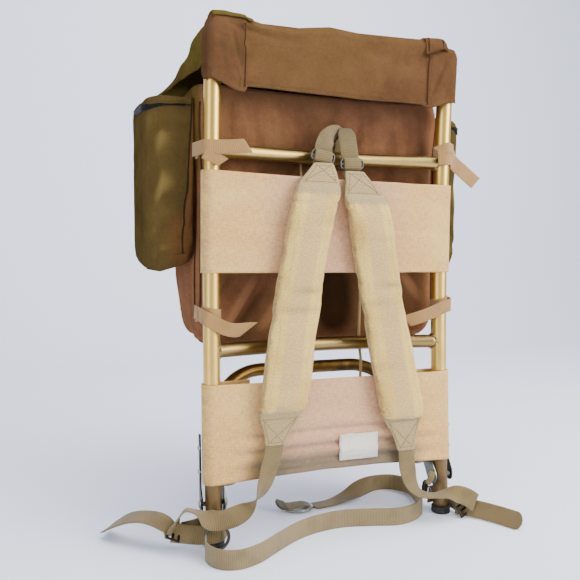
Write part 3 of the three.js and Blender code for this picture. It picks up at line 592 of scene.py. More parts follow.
def spline(points, per_span):
    """A centripetal Catmull-Rom curve through rows of numbers, spaced by the first three columns."""
    points = np.asarray(points, float)
    points = np.concatenate([[2 * points[0] - points[1]], points, [2 * points[-1] - points[-2]]])
    knots = np.concatenate([[0], np.cumsum(np.linalg.norm(np.diff(points[:, :3], axis=0), axis=1) ** 0.5)])
    curve = []
    for i in range(1, len(points) - 2):
        a, b, c, d = knots[i - 1:i + 3]
        t = np.linspace(b, c, per_span, endpoint=False)[:, None]
        p0, p1, p2, p3 = points[i - 1:i + 3]
        first = (b - t) / (b - a) * p0 + (t - a) / (b - a) * p1
        second = (c - t) / (c - b) * p1 + (t - b) / (c - b) * p2
        third = (d - t) / (d - c) * p2 + (t - c) / (d - c) * p3
        low = (c - t) / (c - a) * first + (t - a) / (c - a) * second
        high = (d - t) / (d - b) * second + (t - b) / (d - b) * third
        curve.append((c - t) / (c - b) * low + (t - b) / (c - b) * high)
    return np.concatenate(curve + [points[-2:-1]])


def ripple(x, y, z, size, seed=0.0):
    """Smooth random numbers between about -1 and 1 for arrays of points."""
    flat = np.stack(np.broadcast_arrays(x, y, z), -1).reshape(-1, 3) / size + seed
    return np.array([noise.noise(p) for p in flat.tolist()]).reshape(np.broadcast(x, y, z).shape)


def smoothstep(t):
    t = np.clip(t, 0, 1)
    return t * t * (3 - 2 * t)


def band_plan():
    """The band seen from above, from one rear flap round both uprights to the other flap."""
    offset, flap = BAND["offset"], BAND["flap"]
    rear = [(x, offset) for x in np.linspace(-HALF_SPACING + flap, -HALF_SPACING, 20, endpoint=False)]
    turn = np.linspace(np.pi / 2, 3 * np.pi / 2, 16, endpoint=False)
    bend = [(-HALF_SPACING + offset * math.cos(t), offset * math.sin(t)) for t in turn]
    half = np.array(rear + bend)
    front = np.stack([np.linspace(-HALF_SPACING, HALF_SPACING, 113), np.full(113, -offset)], 1)
    return np.concatenate([half, front, half[::-1] * [-1, 1]])


def canvas_finish():
    """Plain-weave canvas, yellowed at the edges, faded pink in the middle, soiled along its foot, with
    painted shade in the valleys of its folds.
    """
    canvas = Finish("beige_canvas", roughness=0.9, specular_ior_level=0.25, sheen_weight=0.15)
    spot = canvas.place(uv="cloth")
    warp = (canvas.axis(spot, "X") * 5.2).sine()
    weft = (canvas.axis(spot, "Y") * 6.4).sine()
    weft_slubs = canvas.mottle(canvas.place((0.16, 0.9, 1), uv="cloth"), 1.3, detail=3)
    warp_slubs = canvas.mottle(canvas.place((0.9, 0.16, 1), uv="cloth"), 1.3, detail=3)
    slubs = weft_slubs * 0.5 + warp_slubs * 0.5
    blotch = canvas.mottle(canvas.place((0.5, 1, 1)), 55, detail=4)
    place = canvas.place()
    across, level = canvas.axis(place, "X") - float(PACK_ORIGIN[0] / MM), canvas.axis(place, "Z")
    middle = 1 - (across.size() + 60 * blotch).between(90, 165)
    beige = canvas.blend(blotch.between(0.35, 0.65), "#dab168", "#d0a05c")
    pink = canvas.blend(middle * 0.8, beige, "#c39478")
    # Painted shade: the cloth turns mauve in the valleys of the lower band's folds.
    fold = canvas.node("ShaderNodeAttribute", {"attribute_name": "valley_shade"}, output="Fac")
    shaded = canvas.blend(fold.between(0.1, 1.0) * (0.45 + 0.6 * blotch), pink, "#8f6f66")
    soil_line = level + 26 * blotch
    streaks = canvas.mottle(canvas.place((0.08, 1, 1)), 8, detail=3)
    foot = (1 - soil_line.between(106, 140)) * (1 - across.size().between(95, 150))
    soiled = foot * (0.6 + 0.6 * streaks)
    grubby = canvas.blend(soiled, shaded, "#575140")
    clean = 1 - 0.8 * soiled
    edge = (across.size().between(166, 184)) * canvas.mottle(place, 14, detail=5).between(0.38, 0.7)
    specks = canvas.mottle(place, 5, detail=2).between(0.7, 0.76) * blotch.between(0.45, 0.65)
    colour = canvas.blend(edge * 0.55 + specks * 0.35, grubby, "#94804f")
    dark_thread = canvas.blend((0.5 - slubs) * 2.4 * clean, colour, "#94714c")
    bright = (slubs - 0.5) * 2.2 + (warp * weft) * 0.16
    thread = canvas.blend(bright * clean, dark_thread, "#efd6a4")
    return canvas.finish(thread, height=warp * 0.4 + weft * 0.6 + slubs * 1.5, relief=0.12)


def slack(folds, share):
    table = np.array(folds)
    rows = spline(np.stack([table[:, 0], table[:, 1] * 0.1, table[:, 0] * 0], 1), 12)
    return np.interp(share, rows[:, 0], rows[:, 1] * 10)


def back_band(name):
    bottom, top = BAND[name]
    plan = band_plan()
    x, y = plan[:, 0][None], plan[:, 1][None]
    share = np.linspace(0, 1, 44)[:, None]
    edges = BAND_EDGES[name]
    lean = np.clip(x / HALF_SPACING, -1, 1)
    high = top - edges["drop"] - edges["tilt"] * lean - edges["sag"] * (1 - lean ** 2)
    low = bottom + edges["lift"] + edges["arch"] * (1 - lean ** 2)
    low = low + FLAP_LIFT[name] * smoothstep(y / BAND["offset"])
    z = low + share * (high - low)
    front = (y < 0) * np.clip(1 - (x / HALF_SPACING) ** 4, 0, 1)
    sway = 1 + 0.5 * ripple(x, y * 0, share * 0, 90, seed=top)
    bag = slack(BAND_FOLDS[name], share) * front * sway
    creases = ripple(x / 5, y * 0, z, 11, seed=bottom) * 0.5 + ripple(x / 2.5, y * 0, z, 34, seed=top) * 0.9
    edge = ripple(x, y, z * 0, 40, seed=bottom) * (1 - 2 * share) * -0.8
    # How deep each point lies in a fold valley of the lower band, for the painted shade in its finish.
    valley_shade = np.clip((1.2 - bag) / 2.2, 0, 1) * front * (name == "lower") * smoothstep((0.62 - share) / 0.2)
    points = np.stack(np.broadcast_arrays(x, bow(z) + y - bag - creases * front, z + edge), -1)
    return points, np.broadcast_to(valley_shade, points.shape[:2])


def note(piece, name, values):
    """Store a number on each point for the material to read."""
    layer = piece.data.attributes.new(name, "FLOAT", "POINT")
    layer.data.foreach_set("value", np.asarray(values, np.float32).ravel())


def thicken(piece, wall):
    solid = piece.modifiers.new("cloth_wall", "SOLIDIFY")
    solid.thickness = wall * MM
    solid.offset = 0


CANVAS = canvas_finish()
bands = {}
for name in ("upper", "lower"):
    rows, valley_shade = back_band(name)
    band = make_piece(f"canvas_band_{name}", grid(rows), CANVAS, nodes=[f"back_band_{name}"])
    note(band, "valley_shade", valley_shade)
    thicken(band, BAND["wall"])
    bands[name] = band

# Label: a small woven patch with a plain stitched border, sewn to the front of the lower band.
# It carries nothing.
LABEL = {"x": (1.5, 59.5), "z": (99.0, 132.0), "wall": 0.7, "stand": 1.5}


def lay_on(piece, points, stand):
    """Points in millimetres moved to the nearest place on a piece and lifted off it."""
    laid = []
    for point in np.asarray(points) * MM + PACK_ORIGIN:
        _, near, normal, _ = piece.closest_point_on_mesh(Vector(point))
        laid.append(near + normal * stand * MM)
    return (np.array(laid) - PACK_ORIGIN) / MM


def label_finish():
    woven = Finish("woven_label", roughness=0.8, sheen_weight=0.1)
    spot = woven.place(uv="cloth")
    ribs = (woven.axis(spot, "Y") * 9.0).sine() * 0.5 + (woven.axis(spot, "X") * 6.0).sine() * 0.3
    grime = woven.mottle(woven.place(), 7, detail=5)
    colour = woven.blend(grime.between(0.45, 0.8) * 0.4, "#ddd6c8", "#c4b9a6")
    return woven.finish(colour, height=ribs, relief=0.12)


def stitch_tree():
    """Geometry Nodes: a thread stitch at each step along the rows, laid along them."""
    sizes = ("Pitch", "Stitch half length", "Thread radius")
    tree, given = start_tree("stitch_rows", "Rows", sizes, "Stitches")
    add, link = tree.nodes.new, tree.links.new
    curve, steps = add("GeometryNodeMeshToCurve"), add("GeometryNodeResampleCurve")
    steps.mode = "LENGTH"
    heading, align = add("GeometryNodeInputTangent"), add("FunctionNodeAlignRotationToVector")
    thread, scale = ball(tree, 6, 4), add("ShaderNodeCombineXYZ")
    spread = add("GeometryNodeInstanceOnPoints")
    link(given.outputs["Rows"], curve.inputs["Mesh"])
    link(curve.outputs[0], steps.inputs["Curve"])
    link(given.outputs["Pitch"], steps.inputs["Length"])
    link(heading.outputs[0], align.inputs["Vector"])
    link(given.outputs["Thread radius"], scale.inputs["X"])
    link(given.outputs["Thread radius"], scale.inputs["Y"])
    link(given.outputs["Stitch half length"], scale.inputs["Z"])
    link(steps.outputs[0], spread.inputs["Points"])
    link(thread.outputs["Mesh"], spread.inputs["Instance"])
    link(align.outputs[0], spread.inputs["Rotation"])
    link(scale.outputs[0], spread.inputs["Scale"])
    return end_tree(tree, given, spread)


def thread_finish(name, dark, light):
    thread = Finish(name, roughness=0.85, specular_ior_level=0.12)
    return thread.finish(thread.blend(thread.mottle(thread.place(), 6), dark, light))


STITCHES = stitch_tree()
PALE_THREAD = thread_finish("pale_thread", "#a3977b", "#d8ccb0")
BROWN_THREAD = thread_finish("brown_thread", "#3d2818", "#6a4a2c")


def sew(name, rows, thread, on=None, pitch=3.6, half=1.25, radius=0.38, stand=0.15):
    """Rows of stitches along lines of points, laid on a piece."""
    points, edges = [], []
    for row in rows:
        row = lay_on(on, row, stand) if on else np.asarray(row)
        edges += [(len(points) + i, len(points) + i + 1) for i in range(len(row) - 1)]
        points += row.tolist()
    sizes = {"Pitch": pitch * MM, "Stitch half length": half * MM, "Thread radius": radius * MM}
    return grow(name, STITCHES, points, edges, sizes, thread)


def line(start, end, count):
    return np.linspace(start, end, count)


def border(low, high, y, inset):
    """A rectangle's edge in X and Z, drawn as one closed row."""
    (left, bottom), (right, top) = np.add(low, inset), np.subtract(high, inset)
    corners = [(left, y, bottom), (right, y, bottom), (right, y, top), (left, y, top), (left, y, bottom)]
    return np.concatenate([line(a, b, 24) for a, b in zip(corners, corners[1:])])


label_x = np.linspace(*LABEL["x"], 30)
label_z = np.linspace(*LABEL["z"], 20)
front_y = bow(np.mean(LABEL["z"])) - BAND["offset"] - 12
flat = np.array([[(x, front_y, z) for x in label_x] for z in label_z])
rows = lay_on(bands["lower"], flat.reshape(-1, 3), LABEL["stand"]).reshape(flat.shape)
rows[..., 1] -= 0.35 * np.abs(ripple(rows[..., 0], rows[..., 1] * 0, rows[..., 2], 12, seed=3))
label = make_piece("label_cloth", grid(rows), label_finish(), nodes=["label_patch"])
thicken(label, LABEL["wall"])
low, high = (LABEL["x"][0], LABEL["z"][0]), (LABEL["x"][1], LABEL["z"][1])
sew("label_stitches", [border(low, high, front_y, 2.2)], PALE_THREAD, on=label,
    pitch=2.6, half=0.9, radius=0.28, stand=0.45)

# Lacing: tan braided cord zigzags between brass eyelets in the flaps of each band.
# A link runs from the upper lacing to the lower, behind the lower crossbar, and a hitch ties the upper
# lacing to the upper crossbar.
CORD_RADIUS = 2.0
LINK_X = 55.0
LINK_BEHIND = 18.0
CROSSINGS = 6
HITCH_RADIUS = 1.6
HITCH = [(-36, 50, 508), (-36.3, 48.5, 498), (-38.4, 42.5, 490), (-40, 37, 478), (-41, 36.5, 463)]


def lace_points(level):
    bottom, top = BAND[level][0] + FLAP_LIFT[level], BAND[level][1]
    reach = HALF_SPACING - BAND["flap"] + 8
    behind = BAND["offset"] + BAND["wall"] / 2 + CORD_RADIUS + 0.45
    heights = [top - 12 - (top - bottom - 24) * i / (CROSSINGS - 1) for i in range(CROSSINGS)]
    return np.array([((-1) ** (i + 1) * reach, bow(z) + behind, z) for i, z in enumerate(heights)])


def cord_finish():
    cord = Finish("braided_cord", roughness=0.75, sheen_weight=0.2)
    spot = cord.place(uv="cloth")
    u, v = cord.axis(spot, "X"), cord.axis(spot, "Y")
    braid = ((u * 1.5 + v * 2.2).sine() * (u * 1.5 - v * 2.2).sine()).size()
    return cord.finish(cord.blend(braid, "#8a6c38", "#cdb273"), height=braid, relief=0.3)


CORD = cord_finish()
link_y = float(crossbar_y(LINK_X, CROSSBAR["lower"])) + CROSSBAR["radius"] + CORD_RADIUS + 1.5
LINK = [(LINK_X - 1, float(bow(368)) + LINK_BEHIND, 368), (LINK_X, link_y - 5, 312),
        (LINK_X + 2, link_y, CROSSBAR["lower"]), (LINK_X, link_y - 11, 220),
        (LINK_X - 4, float(bow(196)) + LINK_BEHIND, 196)]
for name, route in (("upper", lace_points("upper")), ("lower", lace_points("lower")), ("link", LINK)):
    path = spline(route, 14)
    shape = grid(sweep(path, circle(CORD_RADIUS, 12)), closed=True, capped=True)
    make_piece(f"lace_{name}", shape, CORD, nodes=[f"lacing_{name}"])
shape = grid(sweep(spline(HITCH, 10), circle(HITCH_RADIUS, 10)), closed=True, capped=True)
make_piece("lace_hitch", shape, CORD)

BRASS = steel_finish("eyelet_brass", "#8a6d35", "#b8964f", "#5b4526")


def eyelet_tree():
    """Geometry Nodes: a rolled metal ring on each point, standing square to Y."""
    tree, given = start_tree("eyelets", "Points", ("Ring radius", "Roll radius"), "Eyelets")
    add, link = tree.nodes.new, tree.links.new
    rim, roll = add("GeometryNodeCurvePrimitiveCircle"), add("GeometryNodeCurvePrimitiveCircle")
    rim.inputs["Resolution"].default_value = 24
    roll.inputs["Resolution"].default_value = 8
    ring, spread = add("GeometryNodeCurveToMesh"), add("GeometryNodeInstanceOnPoints")
    spread.inputs["Rotation"].default_value = (math.pi / 2, 0, 0)
    link(given.outputs["Ring radius"], rim.inputs["Radius"])
    link(given.outputs["Roll radius"], roll.inputs["Radius"])
    link(rim.outputs["Curve"], ring.inputs["Curve"])
    link(roll.outputs["Curve"], ring.inputs["Profile Curve"])
    link(given.outputs["Points"], spread.inputs["Points"])
    link(ring.outputs["Mesh"], spread.inputs["Instance"])
    return end_tree(tree, given, spread)


EYELETS = eyelet_tree()
for level in ("upper", "lower"):
    face = BAND["offset"] + BAND["wall"] / 2 + 0.3
    holes = [(x - np.sign(x) * 5, float(bow(z)) + face, z - 4) for x, y, z in lace_points(level)]
    sizes = {"Ring radius": 4.2 * MM, "Roll radius": 1.1 * MM}
    grow(f"eyelets_{level}", EYELETS, holes, [], sizes, BRASS)

# Shoulder pads: foam strips in faded cream canvas, their ends folded flat to the width of the webbing and
# sewn with a cross. The middle of each face has greyed more than its sides.
PAD_ROWS = {
    "left": [
        (-21, 3, 496, 13.5, 2.4), (-26, -2.5, 482, 21.5, 2.8), (-31, -5.5, 468.5, 28.5, 3.4),
        (-33, -7.5, 460, 31, 8), (-38, -9, 440, 31.8, 10.4), (-52, -10, 360, 32, 10.4),
        (-68, -13, 270, 32, 10.4), (-82, -16, 186, 32, 10), (-85, -15.5, 172, 31, 8),
        (-86.5, -15.5, 165, 29, 3.6), (-91, -16.5, 147, 19, 2.8), (-95, -18, 128, 13, 2.5),
    ],
    "right": [
        (23, 1.5, 487, 13.5, 2.4), (28, -3.5, 471, 20.5, 2.8), (34, -5.5, 455, 28.5, 3.4),
        (35.8, -7.5, 447, 31, 8), (40.5, -9, 428, 31.5, 10.4), (55, -10, 350, 31.5, 10.4),
        (73, -13, 260, 32, 10.4), (91, -16, 170, 33, 10), (93.5, -15.5, 155, 32, 8),
        (94.5, -15.5, 148, 30, 3.6), (97, -16.5, 126, 19, 2.8), (99, -18, 103, 13, 2.5),
    ],
}
PAD_CREASES = {
    "left": [(329, -4, 1.1), (303, 2, 0.8), (412, 3, 0.5), (240, -3, 0.5)],
    "right": [(332, 3, 1.1), (312, 2, 0.9), (398, -3, 0.5), (226, 3, 0.5)],
}
PAD_SIDES = 44


def settle(piece, held, pressure, shrink, limit, frames=20, bending=0.6, gravity=0.0):
    """Let a piece swell or crumple as cloth, and keep each point within limit of where it was cut."""
    start = np.array([v.co for v in piece.data.vertices])
    pins = piece.vertex_groups.new(name="held")
    for index, weight in enumerate(held):
        if weight > 0:
            pins.add([index], float(weight), "REPLACE")
    cloth = piece.modifiers.new("cloth", "CLOTH")
    sets = cloth.settings
    sets.quality = 6
    sets.mass = 0.25
    sets.tension_stiffness = 20
    sets.compression_stiffness = 20
    sets.shear_stiffness = 8
    sets.bending_stiffness = bending
    sets.vertex_group_mass = "held"
    sets.use_pressure = pressure > 0
    sets.uniform_pressure_force = pressure
    sets.shrink_min = shrink
    sets.effector_weights.gravity = gravity
    cloth.point_cache.frame_start = 1
    cloth.point_cache.frame_end = frames
    for step in range(1, frames + 1):
        bpy.context.scene.frame_set(step)
    settled = piece.evaluated_get(bpy.context.evaluated_depsgraph_get()).data
    moved = np.array([v.co for v in settled.vertices]) - start
    piece.modifiers.remove(cloth)
    bpy.context.scene.frame_set(1)
    length = np.linalg.norm(moved, axis=1, keepdims=True)
    limit = np.reshape(limit, (-1, 1)) * MM
    share = np.tanh(length / limit) * limit / np.maximum(length, 1e-9)
    piece.data.vertices.foreach_set("co", (start + moved * np.minimum(share, 1)).astype(np.float32).ravel())
    piece.data.update()


def refine(piece, levels=1):
    smooth = piece.modifiers.new("smooth_cloth", "SUBSURF")
    smooth.levels = levels
    smooth.render_levels = levels


def pad_finish():
    """Cream canvas over foam, greyed down the middle and grubby near its edges, with painted shade along its
    sides and in its creases.
    """
    pad = Finish("pad_canvas", roughness=0.92, specular_ior_level=0.2, sheen_weight=0.25)
    across = pad.node("ShaderNodeAttribute", {"attribute_name": "across"}, output="Fac")
    along = pad.node("ShaderNodeAttribute", {"attribute_name": "along"}, output="Fac")
    blotch = pad.mottle(pad.place(), 45, detail=5)
    fine = pad.mottle(pad.place(), 9, detail=5)
    spot = pad.place(uv="cloth")
    slubs = pad.mottle(pad.place((0.5, 0.5, 1), uv="cloth"), 1.1, detail=4)
    stripe = 1 - (across.size() + 0.14 * blotch).between(0.4, 0.56)
    cream = pad.blend(blotch.between(0.35, 0.65), "#dbb964", "#c9a356")
    greyed = pad.blend(stripe * 0.85, cream, "#bf9f6a")
    ends = (along - 0.5).size().between(0.365, 0.385)
    folded = pad.blend(ends * 0.9, greyed, "#9d8963")
    grime = across.size().between(0.82, 1.0) * fine.between(0.36, 0.66) + fine.between(0.62, 0.72) * 0.25
    # Painted shade along the pad's sides, where they turn away.
    shaded = pad.blend(across.size().between(0.93, 1.0) * 0.45, folded, "#8a7750")
    worn = pad.blend(grime * 0.6, shaded, "#7d6b44")
    dent = pad.node("ShaderNodeAttribute", {"attribute_name": "dent"}, output="Fac")
    # Painted shade in the pressed creases.
    crease_shaded = pad.blend(dent * 0.5, worn, "#6f5f3d")
    dark_thread = pad.blend((0.5 - slubs) * 1.9, crease_shaded, "#86703f")
    colour = pad.blend((slubs - 0.52) * 1.8, dark_thread, "#ead294")
    weave = (pad.axis(spot, "X") * 5.0).sine() * 0.5 + (pad.axis(spot, "Y") * 5.0).sine() * 0.5
    return pad.finish(colour, height=weave + fine * 2.5 + slubs * 1.5, relief=0.13)


PAD = pad_finish()
pads = {}
for name, side in SIDES:
    rows = spline(PAD_ROWS[name], 11)
    turn = np.linspace(0, 2 * np.pi, PAD_SIDES, endpoint=False)[None]
    x, y, z, half, deep = (rows[:, i:i + 1] for i in range(5))
    across = np.sign(np.cos(turn)) * np.abs(np.cos(turn)) ** 0.62
    out = np.sign(np.sin(turn)) * np.abs(np.sin(turn)) ** 0.62
    length = np.concatenate([[0], np.cumsum(np.linalg.norm(np.diff(rows[:, :3], axis=0), axis=1))])
    along = (length / length[-1])[:, None]
    padded = smoothstep((0.39 - np.abs(along - 0.5)) / 0.03)
    edges = along * 0 + np.sign(across) * 40
    pucker = 1.5 * ripple(edges, along * 0, z, 7, seed=side) * np.abs(across) ** 6
    wrinkle = 0.8 * np.minimum(0, ripple(across * 22, along * 0, z * 1.7 - x * 0.4, 26, seed=3 + side))
    dent = sum(deepest * np.exp(-((z - level - tilt * across) / 2.6) ** 2)
               for level, tilt, deepest in PAD_CREASES[name]) * np.clip(-out, 0, 1)
    ring = np.stack(np.broadcast_arrays(x + (half + pucker * padded) * across,
                                        y + (deep + wrinkle * padded - dent) * out, z), -1)
    shape = grid(ring, closed=True, capped=True)
    pad = make_piece(f"pad_{name}", shape, PAD, nodes=[f"shoulder_pad_{name}"])
    note(pad, "across", np.broadcast_to(across, ring.shape[:2]))
    note(pad, "along", np.broadcast_to(along, ring.shape[:2]))
    # The dent depth also sets the painted shade in the pad's creases.
    note(pad, "dent", np.broadcast_to(dent, ring.shape[:2]))
    held = np.broadcast_to((np.abs(along - 0.5) > 0.385) * 1.0, ring.shape[:2]).ravel()
    settle(pad, held, pressure=2.5, shrink=-0.035, limit=4.5, bending=1.5)
    refine(pad)
    pads[name] = pad


def pad_stitches(name):
    """The seam across each end of a pad and the crossed box sewn on its folded end."""
    table = PAD_ROWS[name]
    rows = []
    for outer, inner in ((0, 2), (11, 9)):
        (xo, yo, zo, ho, _), (xi, yi, zi, hi, _) = table[outer], table[inner]
        a, b = np.array([xo, yo - 5, zo]), np.array([xi, yi - 6, zi])
        corner = [a * 0.88 + b * 0.12 + [s * ho * 0.74, 0, 0] for s in (-1, 1)]
        root = [a * 0.08 + b * 0.92 + [s * hi * 0.8, 0, 0] for s in (-1, 1)]
        rows += [line(root[0], root[1], 40), line(corner[0], corner[1], 30), line(corner[0], root[1], 40)]
        rows += [line(corner[1], root[0], 40), line(corner[0], root[0], 30), line(corner[1], root[1], 30)]
    return rows


def pad_seams(name):
    """Two rows down the face of a pad, a finger's width in from its edges."""
    table = spline(PAD_ROWS[name][3:9], 12)
    return [[(x + s * (half - 4.5), y - 30, z) for x, y, z, half, _ in table] for s in (-1, 1)]


GREY_THREAD = thread_finish("grey_thread", "#6d6046", "#94855f")
for name, side in SIDES:
    sew(f"pad_stitches_{name}", pad_stitches(name), GREY_THREAD, on=pads[name],
        half=1.4, radius=0.5, stand=0.4)
    sew(f"pad_seams_{name}", pad_seams(name), PALE_THREAD, on=pads[name], stand=0.3)

# Strap webbing: khaki cotton tape woven with ribs across it, an inch wide.
# Each strap loops over the upper crossbar, threads a steel slide and ends in the fold at the top of a pad.
WEB = {"width": 25.0, "wall": 1.6}
LOOPS = {
    "left": [
        (-24, 6, 478, 1, 0, 0), (-21.6, 10.5, 489, 1, 0, -0.1), (-20.8, 12.4, 497, 1, 0, -0.15),
        (-20.2, 8, 501, 1, 0, -0.15), (-20, 6.9, 505, 1, 0, -0.15), (-19.6, 8, 509, 1, 0, -0.15),
        (-18.6, 12.4, 513, 1, 0, -0.18), (-17, 13, 521, 1, 0.05, -0.22),
        (-12.5, 14.5, 529.5, 1, 0.15, -0.36), (-4, 19, 536, 0.85, 0.5, -0.42),
        (6, 27, 539, 0.6, 0.85, -0.3), (12, 37, 537, 0.6, 0.8, -0.1), (7, 47, 530, 0.9, 0.35, 0),
        (2, 51.5, 519, 1, 0, 0), (0, 51.5, 504, 1, 0, 0), (0, 46, 494.5, 1, 0, 0),
    ],
    "right": [
        (24, 4, 472, 1, 0, 0), (23.2, 10, 481, 1, 0, 0), (23, 12.4, 489, 1, 0, 0.05),
        (23, 8, 493, 1, 0, 0.05), (23, 6.9, 497, 1, 0, 0.05), (23, 8, 501, 1, 0, 0.05),
        (22.5, 12.4, 505, 1, 0, 0.05), (21, 13, 512, 1, -0.1, 0), (19, 14.5, 527, 1, -0.12, 0),
        (19.5, 20, 540, 1, -0.1, 0, 0.96), (21.5, 28, 547.5, 1, 0, 0, 0.7),
        (24, 37, 547, 1, 0, 0, 0.6), (27, 47, 536, 1, 0, 0, 0.9), (28, 51, 522, 1, 0, 0),
        (28, 51, 504, 1, 0, 0), (28, 45.5, 494.5, 1, 0, 0),
    ],
}
SLIDES = {"left": (-20, 9.5, 505, -0.15), "right": (23, 9.5, 497, 0.05)}
SLIDE = {"half_width": 16.4, "half_height": 6.4, "corner": 4.6, "wire": 1.6, "bar": 1.2}
SLIDE_TURN = [(11.5, -7.6), (8.4, -7.5), (6.4, -6), (5.6, -2), (5.5, 2), (6.2, 5.6), (8.2, 7.4),
              (11.5, 7.6)]


def ribbon(route, size, slant=(0, 0), rounded=(0, 0), per_span=10):
    """Webbing along a route with rows of x, y, z, the direction across it and, where it cups, a share of
    its width. Its ends may be cut on the slant or rounded."""
    rows = spline([tuple(row) + (1,) * (7 - len(row)) for row in route], per_span)
    path, across = rows[:, :3], rows[:, 3:6]
    from_start = np.concatenate([[0], np.cumsum(np.linalg.norm(np.diff(path, axis=0), axis=1))])
    from_end = from_start[-1] - from_start
    section = ribbon_section(size)
    half = size["width"] / 2
    width = rows[:, 6].copy()
    for gap, tip in ((from_start, rounded[0]), (from_end, rounded[1])):
        if tip:
            width *= np.sqrt(np.clip(1 - (1 - np.minimum(gap / tip, 1)) ** 2, 0.06, 1))
    section = section[None] * np.stack([width, np.ones(len(path))], 1)[:, None]
    rows = sweep(path, section, across)
    along = unit(np.gradient(path, axis=0))
    for gap, lean in ((from_start, slant[0]), (from_end, slant[1])):
        share = lean * (1 - smoothstep(gap / 24))[:, None] * section[..., 0] / half
        rows = rows + share[..., None] * along[:, None]
    return grid(rows, closed=True, capped=True)


def ribbon_section(size):
    u = np.array([-1, -0.985, -0.94, -0.6, -0.2, 0.2, 0.6, 0.94, 0.985, 1])
    wall = size["wall"] / 2 * np.sqrt(np.clip(1 - ((np.abs(u) - 0.94).clip(0) / 0.06) ** 2, 0, 1))
    x = u * size["width"] / 2
    return np.concatenate([np.stack([x, wall], 1), np.stack([x, -wall], 1)[-2:0:-1]])


def webbing_finish(name, dark, light, stain):
    """Ribbed weave with a plain edge, soiled in patches."""
    web = Finish(name, roughness=0.9, specular_ior_level=0.2, sheen_weight=0.2)
    spot = web.place(uv="cloth")
    along, across = web.axis(spot, "Y"), web.axis(spot, "X")
    ribs = (along * 2.9 + (across * 2.2).sine() * 0.6).sine() * 0.5 + 0.5
    fine = web.mottle(spot, 1.4, detail=3)
    blotch = web.mottle(web.place(), 24, detail=5).between(0.42, 0.7)
    colour = web.blend(ribs * 0.55 + fine * 0.45, dark, light)
    return web.finish(web.blend(blotch * 0.55, colour, stain), height=ribs + fine, relief=0.28)


def wire_frame(half_width, half_height, corner):
    """An oblong with round corners, in two columns."""
    outline = []
    for start, x, y in ((0, 1, 1), (90, -1, 1), (180, -1, -1), (270, 1, -1)):
        centre = np.array([x * (half_width - corner), y * (half_height - corner)])
        outline += [centre + p for p in arc(corner, start, start + 90, 7)]
    return np.array(outline)


def bent_wire(path, radius, sides=12):
    return grid(sweep(path, circle(radius, sides), looped=True), closed=True, looped=True)


def rod(start, end, radius, sides=14):
    start, end = np.array(start, float), np.array(end, float)
    length = np.linalg.norm(end - start)
    tip = radius * 0.4
    profile = [(radius - tip, 0), (radius, tip), (radius, length - tip), (radius - tip, length)]
    return lathe(profile, start, unit(end - start), sides)


WEBBING = webbing_finish("khaki_webbing", "#584a30", "#8b774f", "#5f5036")
for name, side in SIDES:
    loop = ribbon(LOOPS[name], WEB)
    make_piece(f"loop_{name}", loop, WEBBING, nodes=[f"strap_loop_{name}"])
    x, y, z, roll = SLIDES[name]
    frame_line = wire_frame(SLIDE["half_width"], SLIDE["half_height"], SLIDE["corner"])
    lean = np.array([[math.cos(roll), math.sin(roll)], [-math.sin(roll), math.cos(roll)]])
    frame_line = frame_line @ lean
    wire = np.stack([x + frame_line[:, 0], np.full(len(frame_line), y), z + frame_line[:, 1]], 1)
    slide = bent_wire(wire, SLIDE["wire"])
    make_piece(f"slide_{name}", slide, IRON, nodes=[f"slide_buckle_{name}"])
    reach = lean[0] * (SLIDE["half_width"] - 0.5)
    bar = rod((x - reach[0], y, z - reach[1]), (x + reach[0], y, z + reach[1]), SLIDE["bar"])
    make_piece(f"slide_bar_{name}", bar, IRON)
    cover = [(x - roll * h, depth, z + h, lean[0][0], 0, lean[0][1]) for depth, h in SLIDE_TURN]
    make_piece(f"slide_turn_{name}", ribbon(cover, WEB, per_span=6), WEBBING)

# Lower straps: webbing runs from the foot of each pad round the outside of the frame to a ladder lock.
# A short piece of the same webbing round the upright's foot anchors each lock, and the free tail
# lies on the floor.
LOWER = {
    "left": [
        (-92, -16, 142, 1, 0, -0.2), (-96, -19, 124, 1, 0, -0.2), (-103, -21, 100, 1, 0.1, -0.3),
        (-111, -24, 79, 0.9, 0.45, -0.35), (-123, -27, 62, 0.55, 0.8, 0.1),
        (-143, -29, 49, 0.15, 0.6, 0.7), (-168, -27, 42, 0, 0.1, 1), (-185, -24, 45, 0.1, 0.55, 0.6),
        (-198, -19, 54, 0.2, 0.92, -0.1), (-210, -13, 55, 0.25, 0.92, -0.2),
        (-219, -9, 44, 0.5, 0.85, 0.1), (-223.5, -7, 33, 0.75, 0.6, 0.25),
        (-226, -6, 23.5, 0.75, 0.6, 0.25),
    ],
    "right": [
        (97.5, -17, 119, 1, 0, -0.1), (99, -19, 100, 1, 0, -0.1), (100, -22, 78, 1, 0, 0.1),
        (105, -25, 58, 0.9, 0.35, 0.15), (118, -28, 44, 0.65, 0.7, 0), (140, -29, 37.5, 0.5, 0.8, -0.1),
        (160, -29, 36, 0.4, 0.75, 0.15), (179, -32, 35, 0.25, 0.4, 0.85), (192, -37, 30, 0.35, 0.15, 0.92),
        (199.2, -39.8, 24.2, 0.42, 0, 0.9), (201.3, -38.3, 22.8, 0.43, 0, 0.9),
        (199.5, -35, 22.5, 0.43, 0, 0.9), (193, -28, 17, 0.3, 0.2, 0.92),
    ],
}
